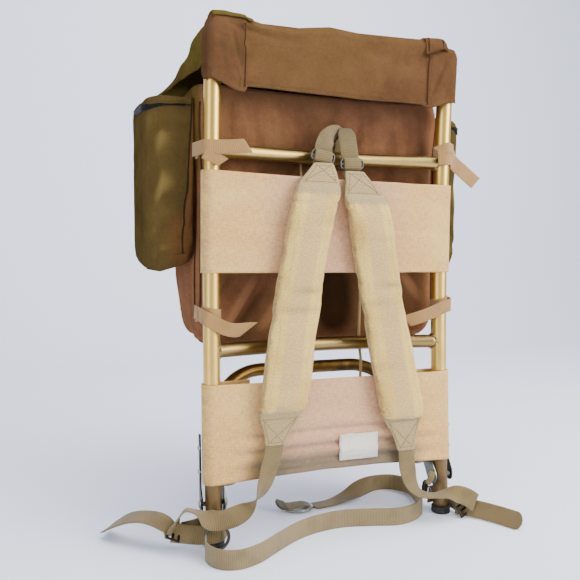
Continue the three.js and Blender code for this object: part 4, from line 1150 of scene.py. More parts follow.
TAILS = {
    "left": [
        (-226, -5, 23.5, 0.6, 0.7, 0.4), (-230, -1, 33, 0.3, 0.8, 0.5), (-240, 8, 39, 0.1, 0.88, 0.4),
        (-255, 22, 40, 0, 0.97, 0.15), (-273, 40, 34, 0.05, 0.97, 0), (-290, 60, 20, 0.15, 0.93, -0.2),
        (-299, 78, 6.6, 0.2, 0.9, -0.34),
    ],
    "right": [
        (186, -15, 13.5, 0.2, 0.4, 0.9), (196, -28, 13, 0.2, 0.5, 0.86), (207, -43, 13, 0.2, 0.5, 0.86),
        (221, -66, 12.5, 0.2, 0.5, 0.86), (230, -84, 12, 0.2, 0.5, 0.86), (236, -97, 12, 0.2, 0.5, 0.86),
    ],
}
ANCHORS = {
    "left": [
        (-226, -6.5, 27, 0, 0.1, 1), (-208, -10, 23.5, 0, 0, 1), (-190, -13, 21, 0, 0, 1),
        (-177, -15, 21, 0, 0, 1), (-163, -13.5, 22, 0, 0, 1), (-154, 0, 23, 0, 0, 1),
        (-161, 15, 23, 0, 0, 1), (-178, 17, 22, 0, 0, 1), (-194, 8, 22, 0, 0, 1),
        (-214, -5, 25, 0, 0.1, 1),
    ],
    "right": [
        (190, -22, 13.2, 0, 0.1, 1), (189, -8, 14.5, 0, 0, 1), (184, 10, 17, 0, 0, 1),
        (170, 19, 20, 0, 0, 1), (157, 14, 22, 0, 0, 1),
    ],
}
LADDER_LOCKS = {
    "left": {"at": (-224, -6, 25), "turn": (0.15, 0.35, 1.3)},
    "right": {"at": (195, -27, 14), "turn": (1.2, 0.1, 0.4)},
}
LOCK_WALL = 2.2


def turned(points, angles, at):
    """Points turned about Z, then Y, then X, and moved to their place."""
    turns = [Matrix.Rotation(angle, 3, axis) for angle, axis in zip(angles, "XYZ")]
    return np.asarray(points) @ np.array(turns[0] @ turns[1] @ turns[2]).T + np.array(at)


def ladder_lock(at, turn):
    """A flat plate with two slots for the webbing."""
    across = (-17, -14, 14, 17)
    along = (-9, -6, -1.5, 1.5, 6, 9)
    flat = [(x, y, 0) for y in along for x in across]
    slots = {(1, 1), (1, 3)}
    cells = [(i, j) for j in range(5) for i in range(3) if (i, j) not in slots]
    faces = [[4 * j + i, 4 * j + i + 1, 4 * j + i + 5, 4 * j + i + 4] for i, j in cells]
    return turned(flat, turn, at), faces, None


for name, side in SIDES:
    strap = ribbon(LOWER[name], WEB)
    make_piece(f"lower_strap_{name}", strap, WEBBING, nodes=[f"strap_web_{name}"])
    tip, cut = (9, 0) if name == "right" else (0, 9)
    tail = ribbon(TAILS[name], WEB, rounded=(0, tip), slant=(0, cut))
    make_piece(f"tail_{name}", tail, WEBBING, nodes=[f"strap_tail_{name}"])
    anchor = ribbon(ANCHORS[name], WEB)
    make_piece(f"anchor_{name}", anchor, WEBBING, nodes=[f"anchor_web_{name}"])
    lock = ladder_lock(**LADDER_LOCKS[name])
    lock = make_piece(f"lock_{name}", lock, DARK_STEEL, nodes=[f"ladder_lock_{name}"])
    thicken(lock, LOCK_WALL)
    soften(lock, 0.5)

# Waist belt: webbing from a steel ring at the left foot, round the front of the feet to a clip at the
# right one, then back behind the frame to its buckle, an oval wire frame with a prong, on the floor.
EDGE = WEB["width"] / 2 + 0.3
UPRIGHT_EDGE = (0, 0, 1)
BELT_FRONT = [(x, y, z) + UPRIGHT_EDGE for x, y, z in [
    (-187, -25, 15), (-191, -40, EDGE), (-188, -58, EDGE), (-178, -71, EDGE), (-158, -77, EDGE),
    (-132, -69, EDGE), (-96, -44, EDGE), (-60, -21, EDGE), (-26, -9, EDGE), (12, -6, EDGE),
    (48, -14, EDGE), (88, -24, EDGE), (118, -16, EDGE), (138, 0, EDGE)]]
BELT_REAR = [
    (141, 6, EDGE, 0, 0, 1), (153, 40, EDGE, 0, 0, 1), (160, 78, EDGE, 0, 0, 1), (146, 102, EDGE, 0, 0, 1),
    (120, 108, EDGE, 0, 0, 1), (92, 100, 11.8, 0, 0.5, 0.8), (62, 89, 6.4, 0.2, 1, 0.25),
    (30, 81, 1.8, 0.1, 1, 0), (-2, 77, 1.5, 0, 1, 0),
]
RING = {"at": (-172, -21, 17.8), "radius": 15.5, "wire": 2.1}
BUCKLE = {"at": (-24, 77, 3.2), "half_width": 17.0, "half_length": 20.0, "wire": 2.2, "prong": 1.4}
CLIP = {"at": (139, -5, 40), "half_width": 4.6, "half_length": 10.0, "wire": 2.3,
        "turn": (math.pi / 2, 0.5, 0), "pin": ((143, -5, 45), (154, -7, 28)), "pin_radius": 1.1}
TAB = [(151, -5, 63, 0.9, 0.1, -0.4), (148, -7, 56, 0.9, 0.1, -0.4), (142.5, -6, 46, 0.9, 0.1, -0.45)]


def oval(half_x, half_y, count=48):
    turn = np.linspace(0, 2 * np.pi, count, endpoint=False)
    return np.stack([half_x * np.cos(turn), half_y * np.sin(turn), np.zeros(count)], 1)


BELT_WEBBING = webbing_finish("belt_webbing", "#665739", "#988560", "#6b5c40")
make_piece("belt_front", ribbon(BELT_FRONT, WEB), BELT_WEBBING, nodes=["waist_belt_front"])
rear = ribbon(BELT_REAR, WEB, rounded=(0, 5))
make_piece("belt_rear", rear, BELT_WEBBING, nodes=["waist_belt_rear"])
path = turned(oval(RING["radius"], RING["radius"]), (math.pi / 2, 0, 0), RING["at"])
make_piece("foot_ring", bent_wire(path, RING["wire"]), IRON, nodes=["belt_ring"])
path = oval(BUCKLE["half_length"], BUCKLE["half_width"]) + BUCKLE["at"]
make_piece("buckle_frame", bent_wire(path, BUCKLE["wire"]), STEEL, nodes=["belt_buckle"])
x, y, z = BUCKLE["at"]
reach = BUCKLE["half_length"]
prong = rod((x - reach, y, z + 1.2), (x + reach, y, z + 1.2), BUCKLE["prong"])
make_piece("buckle_prong", prong, STEEL)
path = turned(oval(CLIP["half_width"], CLIP["half_length"]), CLIP["turn"], CLIP["at"])
make_piece("clip_wire", bent_wire(path, CLIP["wire"]), DARK_STEEL, nodes=["belt_clip"])
make_piece("clip_pin", rod(*CLIP["pin"], CLIP["pin_radius"]), IRON)
make_piece("clip_tab", ribbon(TAB, {"width": 11.0, "wall": 1.6}), WEBBING, nodes=["belt_tab"])
FOLD = [(-6, 77, 4.2, 0, 1, 0), (-15, 77, 7.2, 0, 1, 0), (-26, 76.5, 7.4, 0, 1, 0),
        (-38, 76, 6.8, 0, 1, 0.1), (-48, 75, 8.6, 0, 1, 0.25)]
TIP = [(-44, 75.4, 8.4, 0, 1, 0.2), (-52, 74.6, 11, 0, 1, 0.3), (-60, 73.5, 15.5, 0, 1, 0.4)]
make_piece("buckle_fold", ribbon(FOLD, {"width": 22.0, "wall": 1.6}), WEBBING)
leather = Finish("olive_leather", roughness=0.55)
grain = leather.mottle(leather.place(), 2.2, detail=5)
leather.finish(leather.blend(grain, "#2a2512", "#574a26"), height=grain, relief=0.2)
make_piece("buckle_tip", ribbon(TIP, {"width": 22.6, "wall": 2.6}, rounded=(0, 8)), leather)

# Ties: four tan cotton tapes sewn to the bag's sides. Each is wound once round its upright and
# its end hangs free, cut on the slant.
TAPE = {"width": 18.0, "wall": 1.2}
TIES = {
    "upper_left": [
        (-191, 34, 507, 0, 0.1, 1), (-188, 20, 507, 0, 0, 1), (-182, 6, 508, 0, 0, 1),
        (-170, 2, 508, 0, 0, 1), (-152, -1, 508.5, 0, 0, 1), (-128, -4, 511, 0.3, 0, 1),
    ],
    "upper_right": [
        (156, 5, 513, 0, 0, 1), (170, 2, 514, 0, 0, 1), (182, 8, 514, 0.2, 0, 1),
        (189, 16, 509, 0.45, 0.1, 0.9), (210, 22, 497, 0.5, 0.05, 0.86),
        (236, 27, 482, 0.5, 0.05, 0.86),
    ],
    "lower_left": [
        (-188, 36, 299, 0, 0.1, 1), (-186, 20, 297, 0, 0, 1), (-181, 5, 293, 0.1, 0, 1),
        (-169, 2, 286, 0.2, 0, 1), (-150, -1, 278, 0.12, 0, 1), (-127, -5, 278, -0.1, 0, 1),
    ],
    "lower_right": [
        (188, 36, 306, 0, 0.1, 1), (187, 20, 305, 0, 0, 1), (182, 5, 303, 0, 0, 1),
        (169, 2, 300, -0.2, 0, 1), (142, 2, 290, -0.3, 0, 1), (108, 6, 280, -0.2, 0, 1),
    ],
}
TIE_ENDS = {"upper_left": -5, "upper_right": 3, "lower_left": 12, "lower_right": 6}
TIE_WIDTHS = {"upper_left": 18.0, "upper_right": 22.0, "lower_left": 18.0, "lower_right": 18.0}
TIE_EYE = {"x": 187.0, "y": 29.0, "radius": 8.5, "wire": 1.3}
WRAPS = {"upper_left": (-1, 505, 1.5), "upper_right": (1, 519, -3), "lower_left": (-1, 296, -2),
         "lower_right": (1, 304, 3)}


def wrap(side, z, tilt):
    """One turn of tape round an upright."""
    turn = np.linspace(0, 2 * np.pi, 48, endpoint=False)
    radius = UPRIGHT["radius"] + TAPE["wall"] / 2 + 0.4 + 0.25 * np.sin(3 * turn)
    x, y = side * HALF_SPACING + radius * np.cos(turn), bow(z) + radius * np.sin(turn)
    path = np.stack([x, y, z + tilt * np.cos(turn)], 1)
    across = np.broadcast_to([0, 0, 1.0], path.shape)
    return grid(sweep(path, ribbon_section(TAPE), across, looped=True), closed=True, looped=True)


TAN_TAPE = webbing_finish("tan_tape", "#82603a", "#ad8852", "#85653c")
for name, route in TIES.items():
    shape = ribbon(route, {"width": TIE_WIDTHS[name], "wall": TAPE["wall"]}, slant=(0, TIE_ENDS[name]))
    make_piece(f"tape_{name}", shape, TAN_TAPE, nodes=[f"tie_{name}"])
    make_piece(f"tape_wrap_{name}", wrap(*WRAPS[name]), TAN_TAPE)
    side, z, _ = WRAPS[name]
    eye = oval(TIE_EYE["radius"], TIE_EYE["radius"])
    path = turned(eye, (0, math.pi / 2, 0), (side * TIE_EYE["x"], TIE_EYE["y"], z))
    make_piece(f"tie_eye_{name}", bent_wire(path, TIE_EYE["wire"]), TAN_TAPE)
SECOND_TURNS = {
    "upper_left": [(-182.5, 5, 500, 0.3, 0, 1), (-173, 2.5, 496, 0.4, 0, 0.9),
                   (-159, 1.5, 489, 0.45, 0, 0.9)],
    "upper_right": [(183, 8, 526, -0.2, 0, 1), (170, 1.5, 527, -0.15, 0, 1), (156, 6, 521, -0.3, 0, 1)],
}
for name, route in SECOND_TURNS.items():
    second = ribbon(route, {"width": 15.0, "wall": TAPE["wall"]}, slant=(0, 4))
    make_piece(f"tape_turn_{name}", second, TAN_TAPE)

# Bag: a sack of coated brown nylon, hung behind the frame by its ties, hollow where it meets the bars.
# Its cloth has a satin face and creases softly, and piping stiffens the edges of its front panel.
BAG = {"front_radius": 30.0, "back_radius": 66.0, "hollow": 17.0, "columns": 224, "rows": 72, "wall": 1.4}
BAG_ROWS = [
    (595, 182, 41, 218, 0), (574, 184, 38, 228, 0), (500, 184, 38, 236, 0), (410, 185, 37, 240, 0),
    (320, 187, 37, 236, -2), (274, 186, 39, 230, -8), (260, 181, 46, 222, -10), (255, 160, 62, 200, -10),
]
# Folds pressed into the bag's front: start, end, depth and width in millimetres. Their depth also sets
# painted shade in the hollows and a painted highlight on the ridges.
BAG_CREASES = [
    ((-146, 270), (-98, 346), -6, 8), ((-128, 268), (-74, 340), 9, 9),
    ((-166, 300), (-128, 352), 7, 8), ((-96, 268), (-36, 345), -6, 9),
    ((-64, 272), (-10, 340), 8, 10), ((24, 356), (28, 262), 22, 30), ((96, 345), (140, 285), 8, 9),
    ((120, 352), (158, 306), -6, 8), ((70, 350), (96, 280), -5, 8),
    ((-142, 584), (-136, 522), 4, 8), ((-126, 584), (-118, 540), -2, 8),
    ((-52, 574), (-12, 518), 5, 15), ((-84, 578), (-40, 524), -2, 11),
    ((70, 572), (26, 520), 5, 15), ((92, 580), (58, 524), -2, 11), ((120, 584), (132, 528), 3, 9),
    ((-110, 470), (-60, 500), 5, 9), ((60, 486), (120, 474), 5, 8), ((-8, 548), (14, 562), 5, 8),
    ((14, 562), (34, 546), 5, 8), ((132, 500), (162, 486), -4, 7), ((134, 492), (166, 476), 5, 6),
]


def crease(x, z, start, end, depth, width):
    """How far back a fold from start to end, as seen from the front, presses the cloth."""
    (x0, z0), (x1, z1) = start, end
    run, rise = x1 - x0, z1 - z0
    along = np.clip(((x - x0) * run + (z - z0) * rise) / (run ** 2 + rise ** 2), 0, 1)
    gap = np.hypot(x - x0 - along * run, z - z0 - along * rise)
    return depth * np.exp(-(gap / width) ** 2) * (1 - 0.6 * np.abs(2 * along - 1) ** 3)


def evenly(polyline, count):
    """The same line with evenly spaced points."""
    polyline = np.asarray(polyline, float)
    length = np.concatenate([[0], np.cumsum(np.linalg.norm(np.diff(polyline[:, :3], axis=0), axis=1))])
    even = np.linspace(0, length[-1], count)
    return np.stack([np.interp(even, length, column) for column in polyline.T], 1)


def rounded_box(half, deep, front_radius, back_radius, columns):
    """A rounded rectangle drawn from the middle of its back, with evenly spaced points."""
    outline = [(0, deep)]
    for radius, start, x, y in ((back_radius, 90, -1, 1), (front_radius, 180, -1, -1),
                                (front_radius, 270, 1, -1), (back_radius, 0, 1, 1)):
        centre = np.array([x * (half - radius), y * (deep - radius)])
        outline += [centre + p for p in arc(radius, start, start + 90, 12)]
    outline = np.array(outline + [(0, deep)], float)
    length = np.concatenate([[0], np.cumsum(np.linalg.norm(np.diff(outline, axis=0), axis=1))])
    even = np.linspace(0, length[-1], columns, endpoint=False)
    return np.stack([np.interp(even, length, outline[:, i]) for i in (0, 1)], 1)


def cloth_points(piece):
    return (np.array([v.co for v in piece.data.vertices]) - PACK_ORIGIN) / MM


def press(piece, folds, across, facing):
    """Press folds back into the front of a settled piece, and note them for its finish, which paints shade
    in their hollows and a highlight on their ridges.
    """
    points = cloth_points(piece)
    fold = sum(crease(across, points[:, 2], *line) for line in folds) * facing
    points[:, 1] += fold
    piece.data.vertices.foreach_set("co", (points * MM + PACK_ORIGIN).astype(np.float32).ravel())
    piece.data.update()
    note(piece, "fold", fold)


def nylon_finish(name, colour, shade, tint, tint_share, rubbed, panel=None, gusset=None):
    """Coated nylon: a fine plain weave, faded in soft patches, with painted shade in the hollows of its
    pressed folds and a painted highlight on their ridges that also stands for rubbed wear.
    """
    nylon = Finish(name, specular_ior_level=0.0)
    spot = nylon.place(uv="cloth")
    weave = (nylon.axis(spot, "X") * 7.0).sine() * 0.5 + (nylon.axis(spot, "Y") * 7.0).sine() * 0.5
    place = nylon.place()
    wide = nylon.mottle(place, 130, detail=4)
    patch = nylon.mottle(place, 34, detail=6, roughness=0.6)
    base = nylon.blend(patch.between(0.15, 0.85), shade, colour)
    faded = nylon.blend(wide.between(0.42, 0.62) * tint_share, base, tint)
    if panel:
        across = (nylon.axis(place, "X") - float(PACK_ORIGIN[0] / MM)).size()
        side = across.between(175, 180) * nylon.axis(place, "Z").between(474, 492)
        faded = nylon.blend(side, faded, panel)
    if gusset:
        inside = nylon.node("ShaderNodeAttribute", {"attribute_name": "gusset"}, output="Fac")
        faded = nylon.blend(inside, faded, gusset)
    fine = nylon.mottle(place, 3.4, detail=4, roughness=0.7)
    darker = nylon.blend((0.52 - fine) * 1.8, faded, shade)
    flecked = nylon.blend((fine - 0.52) * 1.6, darker, colour)
    fold = nylon.node("ShaderNodeAttribute", {"attribute_name": "fold"}, output="Fac")
    # Painted shade: the cloth darkens in the hollows of its pressed folds.
    hollow = nylon.blend(fold.between(2.0, 15.0) * 0.8, flecked, "#1d1109")
    # Painted highlight: the ridges of the folds turn pale in the rubbed colour, which also stands for wear.
    ridge = nylon.blend((0 - fold).between(0.8, 5.0) * 0.4, hollow, rubbed)
    return nylon.finish(ridge, 0.55 + 0.25 * patch, height=weave + patch * 3.0 + fine * 2, relief=0.14)


def bag_rings():
    rings = []
    for z, half, front, back, sag in evenly(spline(BAG_ROWS, 12), BAG["rows"]):
        deep = (back - front) / 2
        x, y = rounded_box(half, deep, BAG["front_radius"], BAG["back_radius"], BAG["columns"]).T
        facing = np.maximum(0, -y) / deep
        hollow = BAG["hollow"] * facing * (1 - (x / half) ** 2)
        loose = ripple(x, y, z * 0 + z / 1.6, 42, seed=6) * 2.2 * (1 - facing * 0.6)
        gathered = ripple(x, y, z * 0, 15, seed=8) * 3.5 * smoothstep((296 - z) / 20)
        gathered = gathered * smoothstep((np.abs(x) - 140) / 30)
        rings.append(np.stack([x, (front + back) / 2 + y + hollow + loose * np.sign(y + 0.1),
                               z - sag * (y / (2 * deep) + 0.5) + gathered], 1))
    middle = rings[-1].mean(0)
    shares = (0.85, 0.6, 0.35, 0.12)
    return np.array(rings + [middle + (rings[-1] - middle) * s - [0, 0, 1.5 * (1 - s)] for s in shares])


def piping(name, path, radius, finish):
    """A thin cord sewn along a line of points."""
    path = np.array(path, float)
    for _ in range(2):
        path[1:-1] = (path[:-2] + 2 * path[1:-1] + path[2:]) / 4
    return make_piece(name, grid(sweep(path, circle(radius, 8)), closed=True, capped=True), finish)


BROWN = nylon_finish("brown_nylon", "#8c6043", "#654531", "#795c38", 0.45, "#b6845d", panel="#5c4b23")
DARK_BROWN = thread_finish("brown_piping", "#2c170d", "#4a2a18")
rings = bag_rings()
bag = make_piece("bag_cloth", grid(rings, closed=True, capped=True), BROWN, nodes=["bag_body"])
level = rings[..., 2]
held = np.clip((level - 560) / 30, 0, 1) ** 0.5
loose = np.where(rings[..., 1] < 75, 5.0, 11.0)
settle(bag, held.ravel(), pressure=0.8, shrink=-0.045, limit=loose.ravel(), bending=0.25, gravity=0.25)
points = cloth_points(bag)
facing = smoothstep((84 - points[:, 1]) / 20) * smoothstep((178 - np.abs(points[:, 0])) / 12)
press(bag, BAG_CREASES, points[:, 0], facing)
thicken(bag, BAG["wall"])
for name, side in SIDES:
    for i, depth in enumerate((46, 58)):
        edge = [(side * (182 + 4 * i), depth, z) for z in np.linspace(572, 288, 60)]
        piping(f"bag_piping_{name}_{i}", lay_on(bag, edge, 0.2), 1.3, DARK_BROWN)

# Side pockets: bellows of olive nylon sewn to the bag's sides, each closed by a zip below its top edge.
# The left one is the fuller. Dark piping marks the seam down its front, and its foot is drawn into a seam.
POCKET = {"middle": 118.0, "top_corner": 11.0, "foot_corner": 24.0, "rim": 186.0, "columns": 144,
          "rows": 30, "drawn": 60.0}
POCKET_FULL = {"left": 64.0, "right": 44.0}
POCKET_SEAM = [(372, 0.24), (418, 0.2), (483, 0.12), (535, 0.05), (577, 0.02)]
ZIP_LIPS = [
    [(188, 48, 568), (229, 48, 567), (243, 50, 566), (249, 62, 567), (250, 100, 570), (250, 150, 572)],
    [(188, 48, 566.5), (229, 48, 563), (243, 50, 559), (249, 62, 558), (250, 100, 560), (250, 150, 566)],
]
POCKET_ROWS = [
    (0, 64, 580, 368), (0.3, 66, 582, 359), (0.55, 66, 582, 355), (0.75, 63.5, 581, 357),
    (0.9, 58, 579, 363), (1, 46, 574, 372),
]
# Folds pressed into each pocket's front: start, end, depth and width in millimetres. Their depth also sets
# painted shade in the hollows and a painted highlight on the ridges.
POCKET_CREASES = [
    ((-203, 484), (-216, 440), 10, 7), ((-210, 500), (-232, 440), -5, 7), ((-206, 436), (-228, 400), 9, 7),
    ((-216, 430), (-240, 384), -5, 7), ((-201, 545), (-214, 500), 7, 7), ((-220, 548), (-236, 490), -5, 8),
    ((-234, 520), (-242, 440), 5, 7), ((-200, 404), (-214, 382), 7, 6), ((-232, 396), (-246, 376), 7, 6),
    ((-226, 384), (-206, 372), -4, 6), ((-206, 560), (-232, 530), 5, 6), ((-240, 556), (-246, 500), -4, 6),
]


def pocket_rings(name, side):
    rings = []
    for share, deep, top, foot in evenly(spline(POCKET_ROWS, 10), POCKET["rows"]):
        corners = POCKET["foot_corner"], POCKET["top_corner"]
        y, z = rounded_box(deep, (top - foot) / 2, *corners, POCKET["columns"]).T
        x = np.full_like(y, side * (POCKET["rim"] + share * POCKET_FULL[name]))
        z = z + (top + foot) / 2
        rings.append(np.stack([x, POCKET["middle"] + y, z], 1))
    middle = rings[-1].mean(0)
    shares = (0.82, 0.6, 0.38, 0.18, 0.03)
    face = [middle + (rings[-1] - middle) * s + [side * 1.5 * (1 - s), 0, 0] for s in shares]
    return np.array(rings + face)


def seam_share(z):
    """How far out from the bag the seam down a pocket's front lies, as a share of the pocket's fullness."""
    return np.interp(z, *np.array(POCKET_SEAM).T)


def pocket_line(rings, laid, offset):
    """A line down the front of a settled pocket, offset by a share of its fullness from the seam."""
    count = POCKET["rows"]
    front = np.flatnonzero(rings[10, :, 1] < POCKET["middle"] - 60)
    reach = np.abs(rings[:count, 0, 0]) - POCKET["rim"]
    rows = np.interp((seam_share(rings[10, front, 2]) + offset) * reach[-1], reach, np.arange(count))
    whole = np.minimum(rows.astype(int), count - 2)
    part = (rows - whole)[:, None]
    return laid[whole, front] * (1 - part) + laid[whole + 1, front] * part - [0, 0.9, 0]


def zip_finish():
    """Navy zip tape with its row of teeth along the middle."""
    tape = Finish("navy_zip", roughness=0.6, specular_ior_level=0.1)
    spot = tape.place(uv="cloth")
    teeth = (tape.axis(spot, "X") * 2.6).sine().between(0.0, 0.6)
    dirt = tape.mottle(tape.place(), 4, detail=4)
    return tape.finish(tape.blend(teeth * 0.3 + dirt * 0.3, "#05070b", "#1c222c"), height=teeth, relief=0.5)


OLIVE = nylon_finish("olive_nylon", "#574928", "#40351b", "#594428", 0.4, "#8d7844", gusset="#644328")
DARK_OLIVE = thread_finish("olive_piping", "#1c150a", "#33270f")
ZIP = zip_finish()
rim, drawn, count = POCKET["rim"], POCKET["drawn"], POCKET["rows"]
for name, side in SIDES:
    rings = pocket_rings(name, side)
    pocket = make_piece(f"pocket_{name}", grid(rings, closed=True, capped=True), OLIVE,
                        nodes=[f"side_pocket_{name}"])
    shares = (np.abs(rings[..., 0]) - rim) / POCKET_FULL[name]
    inside = smoothstep((seam_share(rings[..., 2]) - shares) / 0.03 + 0.5)
    note(pocket, "gusset", inside * (rings[..., 1] < POCKET["middle"] - 30))
    held = np.zeros(rings.shape[:2])
    held[:2] = 1
    settle(pocket, held.ravel(), pressure=0.7, shrink=-0.07, limit=4.0, bending=0.25, gravity=0.3)
    points = cloth_points(pocket)
    plan = -rim - (np.abs(points[:, 0]) - rim) * drawn / POCKET_FULL[name]
    press(pocket, POCKET_CREASES, plan, smoothstep((78 - points[:, 1]) / 20))
    laid = cloth_points(pocket).reshape(rings.shape)
    thicken(pocket, BAG["wall"])
    wide = POCKET_FULL[name] / drawn
    lips = [[(side * (rim + (x - rim) * wide), y, z) for x, y, z in lip] for lip in ZIP_LIPS]
    upper, lower = (lay_on(pocket, evenly(lip, 70), 1.0) for lip in lips)
    zip_rows = np.array([upper, (upper + lower) / 2, lower])
    thicken(make_piece(f"pocket_zip_{name}", grid(zip_rows), ZIP), 0.9)
    piping(f"pocket_lip_{name}", lay_on(pocket, upper + [0, 0, 0.8], 1.0), 1.1, OLIVE)
    seam = pocket_line(rings, laid, 0)
    piping(f"pocket_seam_{name}", seam, 1.1, DARK_OLIVE)
    start = int(np.argmin(np.abs(shares[:count, 0] - seam_share(372))))
    column = int(np.argmin(np.abs(rings[10, :, 2] - 373) + 1000 * (rings[10, :, 1] > POCKET["middle"] - 60)))
    foot = laid[start:count, column] - [0, 0.5, 0]
    piping(f"pocket_foot_{name}", foot, 0.7, OLIVE)
    beside = [pocket_line(rings, laid, 0.07), laid[start:count, column - 1] - [0, 0.9, 0]]
    sew(f"pocket_stitches_{name}", beside, BROWN_THREAD, pitch=3.4)

# Hood: a brown sleeve sewn shut along its top, that drops over the uprights' upper ends and hangs the bag.
# Side panels overlap the front one at double-stitched seams, and its hem rises over the tubes.
# The lid's edge is folded over its top at both ends.
HOOD = {"half": 183.0, "reach": 14.5, "end_radius": 13.0, "seam": 130.0,
        "columns": 360, "rows": 34, "wall": 1.4}
HOOD_EDGES = [
    (-183, 590, 640), (-179, 592, 662), (-173, 591, 671), (-158, 585, 672), (-147, 580, 671),
    (-139, 578, 671), (-131, 578, 670), (-129, 585, 668), (-107, 585, 664), (-69, 584, 663),
    (-14, 583, 671), (28, 582, 668), (100, 583, 670), (124, 583, 671), (126, 581, 672),
    (137, 579, 673), (150, 583, 674), (156, 585, 674), (162, 587, 668), (167, 588, 664),
    (177, 590, 662), (183, 591, 652),
]
HOOD_CREASES = [
    ((-152, 660), (-94, 650), 4.5, 3.6), ((-94, 650), (-52, 647), 2.5, 5),
    ((-150, 655), (-136, 602), 2.2, 3.5), ((-166, 648), (-158, 600), 1.6, 5),
    ((-144, 640), (-122, 620), -1.5, 6), ((92, 637), (126, 649), 4, 7),
    ((126, 650), (166, 664), 5, 3.4), ((160, 642), (137, 592), 3, 3),
    ((176, 640), (160, 600), 1.6, 4), ((-60, 600), (40, 612), -1.6, 12),
    ((20, 650), (96, 636), 1.8, 7), ((-20, 660), (60, 656), 1.8, 6),
    ((-110, 630), (-60, 606), 1.6, 8), ((60, 600), (118, 610), 1.5, 7),
]


def hood_edges(x):
    edges = np.array(HOOD_EDGES, float)
    return np.interp(x, edges[:, 0], edges[:, 1]), np.interp(x, edges[:, 0], edges[:, 2])


def hood_rings():
    ends = HOOD["end_radius"]
    x, y = rounded_box(HOOD["half"], HOOD["reach"], ends, ends, HOOD["columns"]).T
    hem, top = hood_edges(x)
    hem = hem + 17 * smoothstep((y + 6) / 12)
    facing = np.where(y < 0, -1.0, 1.0)
    rings = []
    for share in np.linspace(0, 1, HOOD["rows"]):
        z = hem + share * (top - hem)
        lap = 1.2 * smoothstep((np.abs(x) - HOOD["seam"]) / 2) + 0.9 * smoothstep((0.09 - share) / 0.03)
        slack = 1.4 * ripple(x / 2, y * 0, z, 26, seed=5) + 0.8 * ripple(x, y * 0, z / 2.5, 14, seed=9)
        pressed = sum(crease(x, z, *fold) for fold in HOOD_CREASES) * (y < -8)
        close = 1 - 0.35 * smoothstep((share - 0.9) / 0.1)
        out = facing * (lap + slack * 0.8) + pressed
        rings.append(np.stack([x, bow(z) + y * close + out, z], 1))
    ridge = np.stack([x * 0.997, bow(top) + y * 0.3, top + 2.2], 1)
    shut = np.stack([x * 0.995, bow(top) + y * 0.02, top + 2.4], 1)
    return np.array(rings + [ridge, shut])


def folded_edge(start, end, drop, rise):
    """A strip of cloth folded over the top of the hood between two places along it."""
    rows = []
    for share in np.linspace(0, 1, 30):
        x = start + (end - start) * share
        top = hood_edges(x)[1] + rise[0] + (rise[1] - rise[0]) * share
        fall = drop[0] + (drop[1] - drop[0]) * share
        wave = 0.6 * noise.noise((x / 9, 0.5, 3.0))
        profile = [(-15.6, -fall), (-15.2, -fall * 0.55), (-13, -1), (-8, 2 + wave), (0, 3.2), (8, 2),
                   (14, -3), (15.4, -9)]
        rows.append([(x, float(bow(top)) + y + wave, top + z) for y, z in profile])
    return grid(np.array(rows))


HOOD_BROWN = nylon_finish("hood_nylon", "#684a31", "#4e3623", "#644d2b", 0.5, "#906844")
shape = grid(hood_rings(), closed=True)
hood = make_piece("hood_cloth", shape, HOOD_BROWN, nodes=["hood_sleeve"])
thicken(hood, HOOD["wall"])
seams = []
for x in (-138, -133.5, 133.5, 138):
    seams.append([(x, -30, z) for z in np.linspace(584, 664, 60)])
hem_x = np.linspace(-126, 122, 160)
seams.append([(x, -30, hood_edges(x)[0] + 5) for x in hem_x])
sew("hood_stitches", seams, BROWN_THREAD, on=hood, pitch=3.4, stand=0.3)
for name, side in SIDES:
    lap_line = [(side * 130.5, -30, z) for z in np.linspace(583, 668, 40)]
    piping(f"hood_lap_{name}", lay_on(hood, lap_line, 0.1), 0.7, DARK_BROWN)

# Lid: a sheet of olive nylon sewn to the back of the hood, that falls over the bag's mouth.
# Its sides hang as short skirts with a turned hem, and its last span hangs down the back as a flap.
LID = {"columns": 132, "wall": 1.4}
LID_ROWS = [
    (20, 175, 672, 670, 640), (34, 179, 668, 664, 614), (66, 187, 662, 652, 610),
    (100, 193, 654, 631, 608), (130, 197, 648, 620, 606), (160, 203, 641, 611, 604),
    (210, 211, 628, 608, 601), (244, 209, 614, 602, 593),
]
LID_FLAP = [(256, 205, 597, 7), (261, 202, 566, 3), (261, 200, 540, 0)]


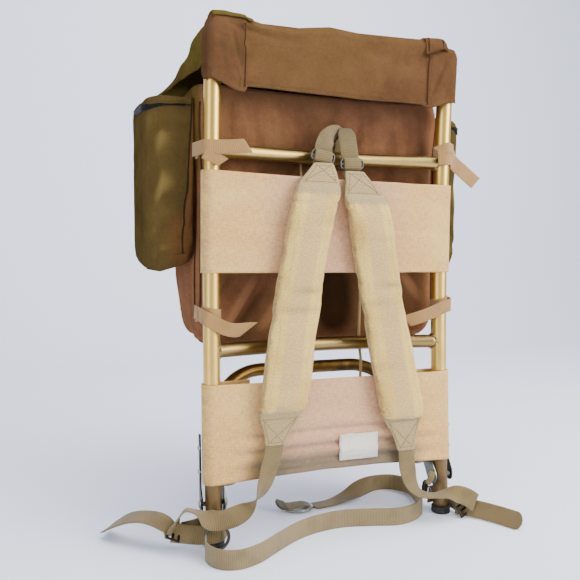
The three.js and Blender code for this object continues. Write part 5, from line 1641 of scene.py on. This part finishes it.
def lid_rows():
    share = np.linspace(-1, 1, 41)
    lines = []
    for y, half, crown, shoulder, hem in LID_ROWS:
        top = [(s * half, y, shoulder + (crown - shoulder) * (1 - s ** 2)) for s in share]
        lines.append([(-half - 1, y, hem)] + top + [(half + 1, y, hem - 10)])
    for y, half, z, drop in LID_FLAP:
        edge = [(s * half, y + 5 * (1 - s ** 2), z) for s in share]
        lines.append([(-half - 2, y - 4, z - drop)] + edge + [(half + 2, y - 4, z - drop)])
    lines = np.array([evenly(line_points, LID["columns"]) for line_points in lines])
    rows = spline(lines.reshape(len(lines), -1), 7).reshape(-1, LID["columns"], 3)
    for _ in range(3):
        rows[:, 1:-1] = (rows[:, :-2] + 2 * rows[:, 1:-1] + rows[:, 2:]) / 4
    x, y, z = rows[..., 0], rows[..., 1], rows[..., 2]
    skirt = smoothstep((np.abs(x) - 150) / 40)
    slope = ripple((y * 0.9 + z) / 1.1, (y - z * 0.9) / 7, x * 0, 15, seed=2)
    wide = ripple(x / 2, y, z, 60, seed=4)
    rows[..., 0] += np.sign(x) * (slope * 2.2 + wide * 1.5) * skirt * smoothstep((y - 24) / 20)
    rows[..., 2] += (wide * 4.5 + slope * 1.2) * (1 - skirt) * smoothstep((y - 40) / 30)
    return rows


LID_OLIVE = nylon_finish("lid_nylon", "#655628", "#483c1b", "#624a28", 0.35, "#8f7c44")
rows = lid_rows()
lid = make_piece("lid_cloth", grid(rows), LID_OLIVE, nodes=["lid"])
thicken(lid, LID["wall"])
sides = np.array(LID_ROWS[1:])
hems = [[(s * (half + 12), y, hem + 7) for y, half, _, _, hem in evenly(sides, 80)] for s in (-1, 1)]
sew("lid_stitches", hems, BROWN_THREAD, on=lid, pitch=3.4, stand=0.8)
caps = {"left": (folded_edge(-175, -122, (6, 4), (1.5, 1)), LID_OLIVE),
        "right": (folded_edge(127, 161, (22, 12), (0.6, 0.6)), HOOD_BROWN)}
for name, (shape, finish) in caps.items():
    thicken(make_piece(f"hood_cap_{name}", shape, finish), 1.2)
for i, (x, foot) in enumerate(((131, 654), (154, 663))):
    path = [(x, float(bow(668)) - 16.2, z) for z in np.linspace(foot, 671, 4)]
    path = spline(path + [(x, float(bow(668)) - 13, 674.5)], 8)
    shape = grid(sweep(path, circle(0.7, 8)), closed=True, capped=True)
    make_piece(f"cap_seam_{i}", shape, DARK_BROWN)

low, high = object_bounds()
